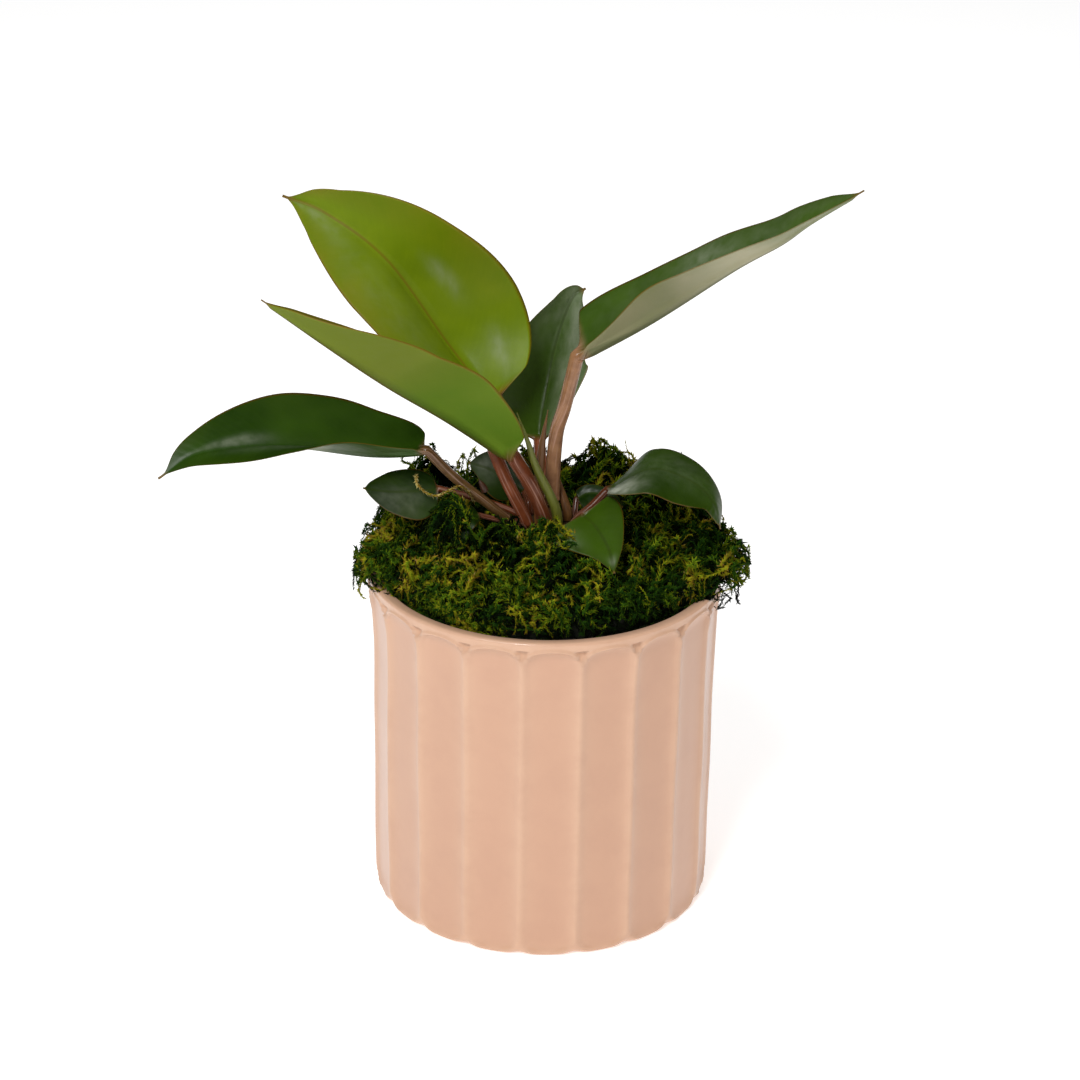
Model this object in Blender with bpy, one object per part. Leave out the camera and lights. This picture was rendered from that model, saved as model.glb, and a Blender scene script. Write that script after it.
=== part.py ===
"""Potted philodendron: a young plant in moss, in a black grow pot inside a fluted ceramic pot.

Every separate piece is one closed object.  Sizes below are in millimetres and MM turns them into
metres.  The pot stands on z = 0, its axis is the z axis, +Z is up and the front is -Y.
"""
import math
from typing import NamedTuple

import bmesh
import bpy
import numpy as np

MM = 0.001
TOUCH = 0.3                # gap left between pieces that rest on each other

# Ceramic pot
POT_HEIGHT = 129.0
POT_RADIUS = 63.5          # over the ridges, at mid height
POT_RIM_FLARE = 1.1        # how much wider the rim is
POT_FLARE_START = 90.0     # where the wall starts to flare
POT_FOOT_SHRINK = 0.6      # how much narrower the foot is
POT_EDGE_ROUND = 2.8       # rounding between the flat underside and the wall
POT_WALL = 4.5
POT_FLOOR = 6.0
POT_RIM_ROUND = 1.2
POT_DRAFT = 1.5            # how much narrower the inside is at the bottom
POT_INNER_ROUND = 4.5      # bevel between the inside wall and the floor
FLUTES = 19
FLUTE_DEPTH = 1.9
FLUTE_RIDGE_WIDTH = 1.6    # land left between two flutes
FLUTE_TOP = 125.5          # where the arched upper ends reach
FLUTE_BOTTOM = 1.0
FLUTE_ARCH = 7.0           # height of the rounded end of a flute
ARCH_POWER = 2.4           # 2 is an ellipse, and more is squarer
FOOT_NOTCH = 1.6           # how far the foot is nicked in under each ridge
FOOT_NOTCH_HEIGHT = 8.0
FOOT_NOTCH_WIDTH = 3.2     # half width of a nick
FIRST_RIDGE = -6.8         # compass angle of one ridge, from the front towards +X
STEPS_PER_FLUTE = 6
POT_RING_HEIGHTS = (0, 1, 2.8, 4.4, 6.5, 9, 60, 117, 119.5, 121.8, 123.6, 125.2)

# Black grow pot
GROW_POT_TOP = 127.6
GROW_POT_TOP_RADIUS = 58.4
GROW_POT_BASE_RADIUS = 46.0
GROW_POT_WALL = 1.0
GROW_POT_LIP = 1.6         # depth and thickness of the thicker rim
GROW_POT_BEVEL = 1.5       # between its floor and its wall
GROW_POT_SET_IN = 0.7      # how far the wall is set in under the lip
DRAIN_HOLES = 6
DRAIN_HOLE_RADIUS = 4.0
DRAIN_HOLE_CIRCLE = 28.0

# Potting mix, stem and moss
MIX_TOP = 114.0
CROWN_RADIUS = 13.5
CROWN_TOP = 147.0
MOSS_WELL_RADIUS = 16.5    # open space that the moss leaves round the stem
MOSS_EDGE_RADIUS = 68.0
MOSS_FRONT_PULL = 11.0     # how much further in the moss ends at the front
MOSS_FRONT_START = 0.15    # the front starts where the cosine of the compass angle is this,
MOSS_FRONT_FADE = 0.4      # and is fully in once it has grown by this
MOSS_LEAN = 1.5            # how much further out it hangs on the +X side
MOSS_EDGE_HEIGHT = 133.5
MOSS_HEIGHT = 139.5

# Leaf blades
DRIP_TIP = 0.1             # share of the length that draws out to a point
BASE_BLEND = 0.05          # share of the length over which the round stalk opens out
BLADE_THICKNESS = 0.75
RIB_THICKNESS = 0.8        # at the tip
RIB_SLIMMER = 0.5          # how much thinner than the stalk's radius the rib adds at the base
THINNEST = 0.4             # share of the thickness left where the blade is narrow
NARROWEST = 0.6            # half width of the very tip

# Moss hummocks: centre x, centre y, rise and spread
HUMMOCKS = (
    (-43, 27, 21, 13),
    (-10, 46, 14, 15),
    (22, 46, 17, 13),
    (46, 36, 16, 14),
    (60, 6, 4, 12),
    (-56, -12, 4, 12),
    (0, -20, 9, 12),
    (14, 14, 5, 12),
    (30, -38, -2, 14),
)


class Leaf(NamedTuple):
    """One leaf: its stalk, its midrib, and how its two halves fold up from the midrib.

    The foot is an x, y place on the stem and the other points are x, y, z, in millimetres,
    from the stem outwards; the stalk ends where the midrib starts.  A facing is a compass angle
    (0 is the front, 90 is +X) and a height angle, both in degrees: where the upper side looks.
    A fold is the angle of a half above the flat at the blade's base and at its tip, then how
    much more it turns towards the margin, then the half's share of the width.
    """
    foot: tuple
    stalk: tuple
    midrib: tuple
    facing_base: tuple
    facing_tip: tuple
    half_width: float
    shape: tuple           # powers of the width: small first number means a full base
    left: tuple
    right: tuple
    stalk_radius: float = 2.2


LEAVES = {
    "tall_leaf": Leaf(
        foot=(-6.8, -4), stalk=((-8, -4, 151), (-15, -4, 166), (-20, -3, 180)),
        midrib=((-19, 0, 193), (-36, 14, 210), (-58, 14, 242), (-80, 19, 257.6), (-96, 22, 263)),
        facing_base=(41, 53), facing_tip=(-28, 63), half_width=31, shape=(0.55, 1.05),
        left=(47, -16, 0, 1.16), right=(20, 70, 16, 1.03), stalk_radius=2.5),
    "left_front_leaf": Leaf(
        foot=(-0.5, -8), stalk=((-1, -9, 153), (-6, -12, 167)),
        midrib=((-12, -13, 178), (-35, -19, 196), (-56, -30, 213), (-77, -39, 231), (-99, -38, 246)),
        facing_base=(71, 72), facing_tip=(71, 92), half_width=27.6, shape=(0.63, 0.95),
        left=(62, 47, -8, 1.0), right=(93, 92, 0, 0.5), stalk_radius=3.0),
    "left_low_leaf": Leaf(
        foot=(-11.5, -6), stalk=((-13, -7, 150), (-22, -10, 159), (-33, -14, 170)),
        midrib=((-43, -18, 182.4), (-63, -12, 178.4), (-96, -14, 182), (-124, -21, 181), (-138, -26, 173)),
        facing_base=(-11, 87), facing_tip=(2, 71), half_width=24.6, shape=(0.8, 1.35),
        left=(65, -13, 1, 0.9), right=(9, 22, -4, 1.1), stalk_radius=2.0),
    "right_long_leaf": Leaf(
        foot=(3.5, -1), stalk=((2, 0, 157), (3, -3, 182), (6, -5, 195)),
        midrib=((10, -6, 214.6), (35, -7, 229.6), (64, -10, 250.6), (80, -11.5, 260.6),
                (90, -12, 268.4), (108, -12, 280)),
        facing_base=(-79, 87), facing_tip=(-73, 86), half_width=17.8, shape=(0.22, 0.75),
        left=(30, 28, -4, 1.12), right=(66, 20, 0, 0.93), stalk_radius=2.8),
    "back_leaf": Leaf(
        foot=(0, 5.5), stalk=((0, 8, 152), (-2, 15, 161)),
        midrib=((-3, 20, 170), (-2, 25, 180), (2, 34, 202), (8, 31, 222), (13, 32, 226)),
        facing_base=(-28, 45), facing_tip=(4, 48), half_width=20, shape=(0.5, 0.7),
        left=(28, 55, 19, 0.92), right=(44, 17, 7, 1.04)),
    "right_small_leaf": Leaf(
        foot=(10, -4), stalk=((11.5, -4.5, 151), (16, -4, 155)),
        midrib=((22, -2, 161), (37, -5, 171), (51, -7, 168), (60, -10, 161), (63, -15, 152)),
        facing_base=(3, 79), facing_tip=(56, 12), half_width=17.4, shape=(0.6, 0.94),
        left=(-16, -15, -10, 1.0), right=(20, -3, 5, 1.0), stalk_radius=1.5),
    "shaded_leaf": Leaf(
        foot=(11, 1.5), stalk=((10.5, 3, 150.5),),
        midrib=((11, 5.5, 154), (15.5, 5.5, 156.5), (22, 5, 155.5), (28, 3, 152)),
        facing_base=(-20, 55), facing_tip=(10, 55), half_width=8, shape=(0.3, 0.6),
        left=(10, 5, 0, 0.4), right=(5, 0, -10, 0.9), stalk_radius=1.1),
    "front_small_leaf": Leaf(
        foot=(8, -9), stalk=((9.5, -9, 151),),
        midrib=((13, -9.5, 154.5), (17.5, -17, 153.5), (22.5, -27, 149), (24.6, -36.5, 143.8)),
        facing_base=(-28, 57), facing_tip=(-15, 45), half_width=15, shape=(0.22, 1.15),
        left=(2, 8, 0, 0.8), right=(16, 8, -6, 1.15), stalk_radius=0.9),
    "left_small_leaf": Leaf(
        foot=(-10, -1), stalk=((-11.5, -1.2, 151), (-25, -3, 157)),
        midrib=((-39, -6, 162), (-48, -8, 162), (-57, -11, 163), (-66, -13, 165)),
        facing_base=(0, 54), facing_tip=(0, 67), half_width=12, shape=(0.56, 0.87),
        left=(-6, 3, -8, 1.0), right=(-9, -3, -12, 1.0), stalk_radius=1.3),
    "behind_leaf": Leaf(
        foot=(-6, 6), stalk=((-6.5, 7, 151),),
        midrib=((-8, 11, 154), (-13, 13, 157), (-21, 15, 161), (-29, 16, 163)),
        facing_base=(-20, 50), facing_tip=(-10, 60), half_width=10, shape=(0.6, 0.9),
        left=(10, 10, 0, 1.0), right=(10, 10, 0, 1.0), stalk_radius=1.4),
    "sunken_leaf": Leaf(
        foot=(-7.5, -9.5), stalk=((-9, -10.5, 150), (-17, -12.5, 153)),
        midrib=((-24, -13, 155), (-28, -15, 156), (-31, -18, 153), (-32, -22, 146)),
        facing_base=(-30, 60), facing_tip=(-30, 20), half_width=5.5, shape=(0.6, 0.8),
        left=(0, 0, -10, 1.0), right=(0, 0, -10, 1.0), stalk_radius=1.0),
}


class Sheath(NamedTuple):
    """A narrow pointed scale leaf: its middle line, facing, half width and half thickness."""
    line: tuple
    facing: tuple
    half_width: float
    thickness: float


SHEATHS = {
    "tall_sheath": Sheath(((-2.2, -2.8, 147.3), (-3, -3, 160), (-2, -3, 178), (0, -2, 192)),
                          (0, 10), 2.0, 1.4),
    "green_sheath": Sheath(((4.5, -7.5, 147.3), (3, -8.5, 157), (-4, -10, 173), (-7, -11, 183),
                            (-11, -10, 194)), (0, 10), 1.8, 1.4),
    "short_sheath": Sheath(((7.8, 1, 147.3), (7.6, 1.2, 151), (4.8, 4.5, 159), (3, 6, 166)),
                           (20, 10), 1.7, 1.3),
    "red_bud": Sheath(((-22.2, -10.1, 163.3), (-22.9, -10.3, 165), (-24.5, -10.5, 168)),
                      (0, 10), 1.3, 1.3),
}


# --- Shared geometry -----------------------------------------------------------------------

def unit(vectors):
    """Vectors scaled to length one."""
    return vectors / np.linalg.norm(vectors, axis=-1, keepdims=True)


def smooth_path(points, shares):
    """Points at shares of the length of a Catmull-Rom curve through the given ones."""
    knots = np.asarray(points, dtype=float)
    knots = np.vstack([2 * knots[0] - knots[1], knots, 2 * knots[-1] - knots[-2]])
    spans = len(knots) - 3
    place = np.linspace(0, spans, 40 * spans + 1)
    span = np.minimum(place.astype(int), spans - 1)
    t = (place - span)[:, None]
    p0, p1, p2, p3 = (knots[span + shift] for shift in range(4))
    curve = 0.5 * (2 * p1 + (p2 - p0) * t + (2 * p0 - 5 * p1 + 4 * p2 - p3) * t ** 2
                   + (3 * p1 - p0 - 3 * p2 + p3) * t ** 3)
    length = np.concatenate([[0], np.cumsum(np.linalg.norm(np.diff(curve, axis=0), axis=1))])
    wanted = shares * length[-1]
    return np.stack([np.interp(wanted, length, curve[:, axis]) for axis in range(3)], axis=-1)


def facing_vector(facing):
    """Unit vector for a compass angle from the front and a height angle, in degrees."""
    compass, height = np.radians(facing)
    return np.array([np.sin(compass) * np.cos(height), -np.cos(compass) * np.cos(height),
                     np.sin(height)])


def side_frames(path, facings):
    """Across and upward directions along a path whose upper side looks along the facings."""
    along = unit(np.gradient(path, axis=0))
    up = unit(facings - np.sum(facings * along, axis=1, keepdims=True) * along)
    return np.cross(along, up), up


def add_object(name, mesh, colour, roughness, metallic=0.0):
    """Link a mesh as a named, smooth-shaded object with its own Principled material."""
    material = bpy.data.materials.new(name + "_material")
    material.use_nodes = True
    shader = material.node_tree.nodes["Principled BSDF"]
    shader.inputs["Base Color"].default_value = (*colour, 1.0)
    shader.inputs["Roughness"].default_value = roughness
    shader.inputs["Metallic"].default_value = metallic
    mesh.materials.append(material)
    mesh.shade_smooth()
    mesh.set_sharp_from_angle(angle=math.radians(40))
    piece = bpy.data.objects.new(name, mesh)
    bpy.context.collection.objects.link(piece)
    return piece


def loft(name, rings, closed=False):
    """Mesh through rings of points: capped at both ends, or joined end to end when closed."""
    mesh_builder = bmesh.new()
    loops = [[mesh_builder.verts.new(point * MM) for point in ring] for ring in rings]
    pairs = list(zip(loops[:-1], loops[1:]))
    if closed:
        pairs.append((loops[-1], loops[0]))
    else:
        mesh_builder.faces.new(list(reversed(loops[0])))
        mesh_builder.faces.new(loops[-1])
    for low, high in pairs:
        for i in range(len(low)):
            j = (i + 1) % len(low)
            mesh_builder.faces.new((low[i], low[j], high[j], high[i]))
    bmesh.ops.recalc_face_normals(mesh_builder, faces=mesh_builder.faces)
    mesh = bpy.data.meshes.new(name)
    mesh_builder.to_mesh(mesh)
    mesh_builder.free()
    return mesh


def round_rings(profile, count):
    """Circles of points about the z axis for radius, height pairs."""
    turn = np.linspace(0, 2 * np.pi, count, endpoint=False)
    return [np.stack([r * np.sin(turn), -r * np.cos(turn), np.full(count, z)], axis=-1)
            for r, z in profile]


# --- Ceramic pot ---------------------------------------------------------------------------

def pot_outer_radius(height):
    """Radius over the ridges: slightly flared at the rim, slimmer and rounded at the foot."""
    flare = (height - POT_FLARE_START) / (POT_HEIGHT - POT_FLARE_START)
    flare = POT_RIM_FLARE * max(0.0, flare) ** 2
    slim = POT_FOOT_SHRINK * max(0.0, 1 - height / POT_FLARE_START)
    below = max(0.0, POT_EDGE_ROUND - height)
    rounding = POT_EDGE_ROUND - math.sqrt(POT_EDGE_ROUND ** 2 - below ** 2)
    return POT_RADIUS + flare - slim - rounding


def flute_depth(turn, height):
    """Depth of the scoops, arched at both ends, and of the nicks at the foot between them."""
    pitch = 2 * np.pi / FLUTES
    from_middle = (turn - math.radians(FIRST_RIDGE)) % pitch - pitch / 2
    across = from_middle * POT_RADIUS
    half = (pitch * POT_RADIUS - FLUTE_RIDGE_WIDTH) / 2
    past_end = max(0.0, height - (FLUTE_TOP - FLUTE_ARCH), FLUTE_BOTTOM + FLUTE_ARCH - height)
    reach = np.abs(across / half) ** ARCH_POWER + (past_end / FLUTE_ARCH) ** ARCH_POWER
    from_ridge = pitch * POT_RADIUS / 2 - np.abs(across)
    nick = FOOT_NOTCH * np.exp(-(from_ridge / FOOT_NOTCH_WIDTH) ** 2)
    nick = nick * max(0.0, 1 - height / FOOT_NOTCH_HEIGHT) ** 2
    return FLUTE_DEPTH * (1 - np.clip(reach, 0, 1)) ** 0.8 + nick


def make_ceramic_pot():
    """Fluted cup with a flat underside, a smooth plain rim and a round inside."""
    turn = np.linspace(0, 2 * np.pi, FLUTES * STEPS_PER_FLUTE, endpoint=False)
    turn = turn + math.radians(FIRST_RIDGE)
    circle = np.stack([np.sin(turn), -np.cos(turn)], axis=-1)
    rings = []
    for height in (*POT_RING_HEIGHTS, POT_HEIGHT - POT_RIM_ROUND):
        radius = pot_outer_radius(height) - flute_depth(turn, height)
        rings.append(np.column_stack([circle * radius[:, None], np.full(len(turn), height)]))
    rim = pot_outer_radius(POT_HEIGHT)
    bore = rim - POT_WALL
    inside = ((rim - POT_RIM_ROUND, POT_HEIGHT), (bore + POT_RIM_ROUND, POT_HEIGHT),
              (bore, POT_HEIGHT - POT_RIM_ROUND), (bore - POT_DRAFT, POT_FLOOR + POT_INNER_ROUND),
              (bore - POT_DRAFT - POT_INNER_ROUND, POT_FLOOR))
    for radius, height in inside:
        rings.append(np.column_stack([circle * radius, np.full(len(turn), height)]))
    add_object("ceramic_pot", loft("ceramic_pot", rings), (0.73, 0.48, 0.36), 0.25)


# --- Grow pot and potting mix --------------------------------------------------------------

def grow_pot_radius(height):
    """Outer radius of the tapered grow pot."""
    part = (height - POT_FLOOR) / (GROW_POT_TOP - POT_FLOOR)
    return GROW_POT_BASE_RADIUS + (GROW_POT_TOP_RADIUS - GROW_POT_BASE_RADIUS) * part


def grow_pot_inner_radius(height):
    """Inner radius of the tapered grow pot, from the top of its floor to its lip."""
    floor_top = POT_FLOOR + TOUCH + GROW_POT_WALL
    low = grow_pot_radius(floor_top) - TOUCH - GROW_POT_WALL
    high = GROW_POT_TOP_RADIUS - GROW_POT_LIP
    return low + (high - low) * (height - floor_top) / (GROW_POT_TOP - floor_top)


def make_grow_pot():
    """Thin black nursery pot with a thicker lip and holes in its floor."""
    floor = POT_FLOOR + TOUCH
    lip = GROW_POT_TOP - GROW_POT_LIP
    profile = (
        (grow_pot_radius(floor) - GROW_POT_BEVEL, floor),
        (grow_pot_radius(floor + GROW_POT_BEVEL) - TOUCH, floor + GROW_POT_BEVEL),
        (grow_pot_radius(lip) - GROW_POT_SET_IN, lip),
        (GROW_POT_TOP_RADIUS, lip + TOUCH),
        (GROW_POT_TOP_RADIUS, GROW_POT_TOP),
        (GROW_POT_TOP_RADIUS - GROW_POT_LIP, GROW_POT_TOP),
        (grow_pot_inner_radius(floor + GROW_POT_WALL), floor + GROW_POT_WALL),
    )
    body = add_object("grow_pot", loft("grow_pot", round_rings(profile, 36)),
                      (0.012, 0.012, 0.012), 0.5)
    holes = bmesh.new()
    for number in range(DRAIN_HOLES):
        turn = 2 * math.pi * number / DRAIN_HOLES
        hole = bmesh.ops.create_cone(
            holes, cap_ends=True, segments=12, radius1=DRAIN_HOLE_RADIUS * MM,
            radius2=DRAIN_HOLE_RADIUS * MM, depth=8 * MM)
        bmesh.ops.translate(holes, verts=hole["verts"], vec=(
            DRAIN_HOLE_CIRCLE * MM * math.sin(turn), DRAIN_HOLE_CIRCLE * MM * math.cos(turn),
            floor * MM))
    cutter_mesh = bpy.data.meshes.new("drain_holes")
    holes.to_mesh(cutter_mesh)
    holes.free()
    cutter = bpy.data.objects.new("drain_holes", cutter_mesh)
    cutter.hide_render = True
    cutter.display_type = "WIRE"
    bpy.context.collection.objects.link(cutter)
    cut = body.modifiers.new("drain_holes", "BOOLEAN")
    cut.operation = "DIFFERENCE"
    cut.object = cutter


def make_potting_mix():
    """Tapered plug of potting mix that fills the grow pot."""
    bottom = POT_FLOOR + TOUCH + GROW_POT_WALL + TOUCH
    profile = ((grow_pot_inner_radius(bottom) - TOUCH, bottom),
               (grow_pot_inner_radius(MIX_TOP) - TOUCH, MIX_TOP))
    add_object("potting_mix", loft("potting_mix", round_rings(profile, 36)),
               (0.03, 0.018, 0.01), 0.95)


# --- Moss and stem -------------------------------------------------------------------------

def moss_height(x, y):
    """Height of the moss: a low cushion that falls off at the rim, with soft hummocks."""
    radius = np.hypot(x, y)
    height = MOSS_HEIGHT - (MOSS_HEIGHT - MOSS_EDGE_HEIGHT) * np.clip(radius / 62, 0, 1) ** 4
    for centre_x, centre_y, rise, spread in HUMMOCKS:
        height = height + rise * np.exp(-((x - centre_x) ** 2 + (y - centre_y) ** 2) / spread ** 2)
    return height


def moss_edge(turn):
    """Radius where the moss ends: inside the pot's lip at the front, over the rim elsewhere."""
    front = min(1.0, max(0.0, (math.cos(turn) - MOSS_FRONT_START) / MOSS_FRONT_FADE))
    front = front * front * (3 - 2 * front)
    ripple = math.sin(5 * turn + 0.6) * (1 - front)
    return MOSS_EDGE_RADIUS + MOSS_LEAN * math.sin(turn) + ripple - MOSS_FRONT_PULL * front


def make_moss():
    """Ring of moss on the potting mix that swells out over the rim of the pot."""
    rings = []
    for turn in np.linspace(0, 2 * np.pi, 44, endpoint=False):
        edge = moss_edge(turn)
        fit = grow_pot_inner_radius(GROW_POT_TOP) - TOUCH
        section = [(MOSS_WELL_RADIUS, MIX_TOP + TOUCH), (36, MIX_TOP + TOUCH),
                   (fit - 2, MIX_TOP + TOUCH), (fit, GROW_POT_TOP), (fit, POT_HEIGHT + TOUCH),
                   (max(edge - 3, fit + 0.3), POT_HEIGHT + 2 * TOUCH), (edge, POT_HEIGHT + 2.6)]
        for radius in (edge - 1.5, 54, 47, 40, 32, 24, MOSS_WELL_RADIUS + 2):
            section.append((radius, moss_height(radius * math.sin(turn), -radius * math.cos(turn))))
        section.append((MOSS_WELL_RADIUS, MOSS_HEIGHT - 4))
        rings.append(np.array([(r * math.sin(turn), -r * math.cos(turn), z) for r, z in section]))
    add_object("moss", loft("moss", rings, closed=True), (0.05, 0.09, 0.015), 0.9)


def make_crown():
    """Short thick stem that stands in the mix and carries every leaf stalk."""
    profile = ((CROWN_RADIUS - 4, MIX_TOP + TOUCH), (CROWN_RADIUS - 1, MIX_TOP + 12),
               (CROWN_RADIUS, CROWN_TOP - 4), (CROWN_RADIUS - 0.8, CROWN_TOP))
    add_object("crown_stem", loft("crown_stem", round_rings(profile, 24)), (0.16, 0.06, 0.025), 0.5)


# --- Leaves --------------------------------------------------------------------------------

def blade_width(place, shape):
    """Half width of a blade from base to tip, as a share of its widest."""
    base_power, tip_power = shape
    widest = base_power / (base_power + tip_power)
    top = widest ** base_power * (1 - widest) ** tip_power
    drip = 1 - (1 - np.clip((1 - place) / DRIP_TIP, 0, 1)) ** 2
    return place ** base_power * (1 - place) ** tip_power / top * drip


def blade_half(side, fold, place, width, across_count):
    """Positions and normals across one half, in the midrib's across and up directions."""
    fold_base, fold_tip, curl, share = fold
    out = np.linspace(0, 1, across_count)
    angle = np.radians(fold_base + (fold_tip - fold_base) * place[:, None] + curl * out)
    run = np.cos(angle)
    rise = np.sin(angle)
    step = 1 / (across_count - 1)
    lead = np.zeros((len(place), 1))
    sideways = np.hstack([lead, np.cumsum((run[:, 1:] + run[:, :-1]) * step / 2, axis=1)])
    upward = np.hstack([lead, np.cumsum((rise[:, 1:] + rise[:, :-1]) * step / 2, axis=1)])
    scale = (width * share)[:, None]
    points = np.stack([side * sideways * scale, upward * scale], axis=-1)
    normals = np.stack([-side * rise, run], axis=-1)
    return points, normals


def leaf_rings(leaf, stalk_steps, blade_steps, across_count=4):
    """Rings from the stalk's foot to the drip tip: round in the stalk, a thin fold in the blade."""
    stem_top = CROWN_TOP + TOUCH
    stalk_line = ((*leaf.foot, stem_top), *leaf.stalk, leaf.midrib[0])
    even = np.linspace(0, 1, blade_steps)
    along_blade = even - np.sin(2 * np.pi * even) / (4 * np.pi)
    path = np.vstack([smooth_path(stalk_line, np.linspace(0, 1, stalk_steps))[:-1],
                      smooth_path(leaf.midrib, along_blade)])
    place = np.concatenate([np.zeros(stalk_steps - 1), along_blade])
    facings = ((1 - place)[:, None] * facing_vector(leaf.facing_base)
               + place[:, None] * facing_vector(leaf.facing_tip))
    across, up = side_frames(path, facings)
    width = leaf.half_width * blade_width(place, leaf.shape)
    width = np.maximum(width + leaf.stalk_radius * (1 - place) ** 3, NARROWEST)
    out = np.linspace(0, 1, across_count)
    rib = RIB_THICKNESS + (leaf.stalk_radius - RIB_SLIMMER) * (1 - place)
    thickness = np.where(out == 0, rib[:, None], BLADE_THICKNESS)
    thickness = thickness * np.clip(width / 2, THINNEST, 1)[:, None]

    left, left_normals = blade_half(-1, leaf.left, place, width, across_count)
    right, right_normals = blade_half(1, leaf.right, place, width, across_count)
    left_normals[:, 0] = right_normals[:, 0] = (0, 1)
    left_under = left - thickness[..., None] * left_normals
    right_under = right - thickness[..., None] * right_normals
    blade = np.concatenate([left[:, ::-1], right[:, 1:], right_under[:, -2::-1],
                            left_under[:, 1:-1]], axis=1)

    angle = np.pi - np.arange(blade.shape[1]) * 2 * np.pi / blade.shape[1]
    stalk = leaf.stalk_radius * np.stack([np.cos(angle), 0.9 * np.sin(angle)], axis=-1)
    mix = np.clip(place / BASE_BLEND, 0, 1)[:, None, None]
    section = (1 - mix) * stalk + mix * blade
    rings = path[:, None] + section[..., :1] * across[:, None] + section[..., 1:] * up[:, None]
    rings[0, :, 2] = stem_top
    return rings


def make_leaf(name, leaf):
    """Leaf with its stalk, grown as one piece."""
    stalk_steps = 2 * len(leaf.stalk) + 4
    blade_steps = 16 if leaf.half_width > 15 else 10
    add_object(name, loft(name, leaf_rings(leaf, stalk_steps, blade_steps)),
               (0.06, 0.13, 0.03), 0.4)


def make_sheath(name, sheath):
    """Pointed scale with a lens-shaped section."""
    place = np.linspace(0, 1, 9)
    path = smooth_path(sheath.line, place)
    across, up = side_frames(path, np.tile(facing_vector(sheath.facing), (9, 1)))
    taper = np.maximum(1 - place ** 2.5, 0.12)[:, None, None]
    angle = np.linspace(0, 2 * np.pi, 8, endpoint=False)[None, :, None]
    rings = (path[:, None] + taper * sheath.half_width * np.cos(angle) * across[:, None]
             + taper * sheath.thickness * np.sin(angle) * up[:, None])
    add_object(name, loft(name, rings), (0.25, 0.11, 0.03), 0.45)


def build():
    """Clear the scene and model every piece."""
    for old in list(bpy.data.objects):
        bpy.data.objects.remove(old)
    make_ceramic_pot()
    make_grow_pot()
    make_potting_mix()
    make_moss()
    make_crown()
    for name, leaf in LEAVES.items():
        make_leaf(name, leaf)
    for name, sheath in SHEATHS.items():
        make_sheath(name, sheath)


build()
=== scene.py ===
# %% [markdown]
# # A potted philodendron
#
# A young philodendron stands in a black grow pot, which is dropped into a fluted, glazed ceramic
# pot.  Moss hides the potting mix.  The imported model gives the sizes, and this script dresses it:
# fine surfaces worked out with numpy, materials made of nodes, a floor, lights and a camera.

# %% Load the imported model
from math import cos, pi, radians, sin
from typing import NamedTuple

import bpy
import numpy as np
from mathutils import Euler, Matrix


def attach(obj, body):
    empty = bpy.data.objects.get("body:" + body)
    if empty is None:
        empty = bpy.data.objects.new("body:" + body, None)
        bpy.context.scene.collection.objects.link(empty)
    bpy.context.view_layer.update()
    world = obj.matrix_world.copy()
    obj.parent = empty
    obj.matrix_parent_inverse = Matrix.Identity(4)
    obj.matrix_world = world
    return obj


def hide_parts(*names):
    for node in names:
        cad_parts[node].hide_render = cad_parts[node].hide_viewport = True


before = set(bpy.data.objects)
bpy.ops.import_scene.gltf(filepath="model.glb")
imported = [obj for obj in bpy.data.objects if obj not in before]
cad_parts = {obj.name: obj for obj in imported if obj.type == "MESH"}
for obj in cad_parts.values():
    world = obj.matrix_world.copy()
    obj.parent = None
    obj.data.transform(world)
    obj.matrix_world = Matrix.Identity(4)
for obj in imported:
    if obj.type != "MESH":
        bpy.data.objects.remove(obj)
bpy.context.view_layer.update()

# %% [markdown]
# ## Camera
#
# A small plant looks best from a little above its leaves and through a long lens, which keeps the
# pot's sides nearly upright.  The camera stands 1.1 m in front and 0.65 m up and looks down at the
# pot, with its roll a hair off level.

# %% Camera
LOOK_DOWN = 24.77          # degrees below the horizon
TURN = 0.11                # degrees anticlockwise, seen from above
ROLL = 0.9                 # degrees
LENS = 112.1               # mm
CAMERA_PLACE = (0.0, -1.1182, 0.6555)      # metres

camera_data = bpy.data.cameras.new("product_camera")
camera_data.sensor_width = 36.0
camera_data.lens = LENS
camera_data.clip_start = 0.05
camera = bpy.data.objects.new("product_camera", camera_data)
aim = (Euler((radians(90 - LOOK_DOWN), 0, radians(TURN))).to_matrix()
       @ Matrix.Rotation(radians(ROLL), 3, "Z"))
camera.matrix_world = Matrix.Translation(CAMERA_PLACE) @ aim.to_4x4()
bpy.context.collection.objects.link(camera)
bpy.context.scene.camera = camera
bpy.context.scene.view_settings.view_transform = "Standard"
print("camera at", CAMERA_PLACE, "with a lens of", LENS, "mm")

# %% [markdown]
# ## From arrays to meshes
#
# Every new piece is a grid of points: one ring of points after another, along a path or down a
# profile.  One function puts such grids into a mesh as whole arrays, so that no loop runs over
# single points.  It also stores numbers for each point, which the materials read as attributes.

# %% Mesh helpers
MM = 0.001                 # metres


def grid_faces(rows, columns, wrap_rows=False):
    """Four corner numbers for each cell of a grid.  A row joins up with itself, and the last row
    joins the first one where the rows wrap."""
    row = np.arange(rows if wrap_rows else rows - 1)[:, None]
    column = np.arange(columns)[None]
    next_row = (row + 1) % rows
    next_column = (column + 1) % columns
    corners = (row * columns + column, row * columns + next_column,
               next_row * columns + next_column, next_row * columns + column)
    return np.stack(corners, axis=-1).reshape(-1, 4)


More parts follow.
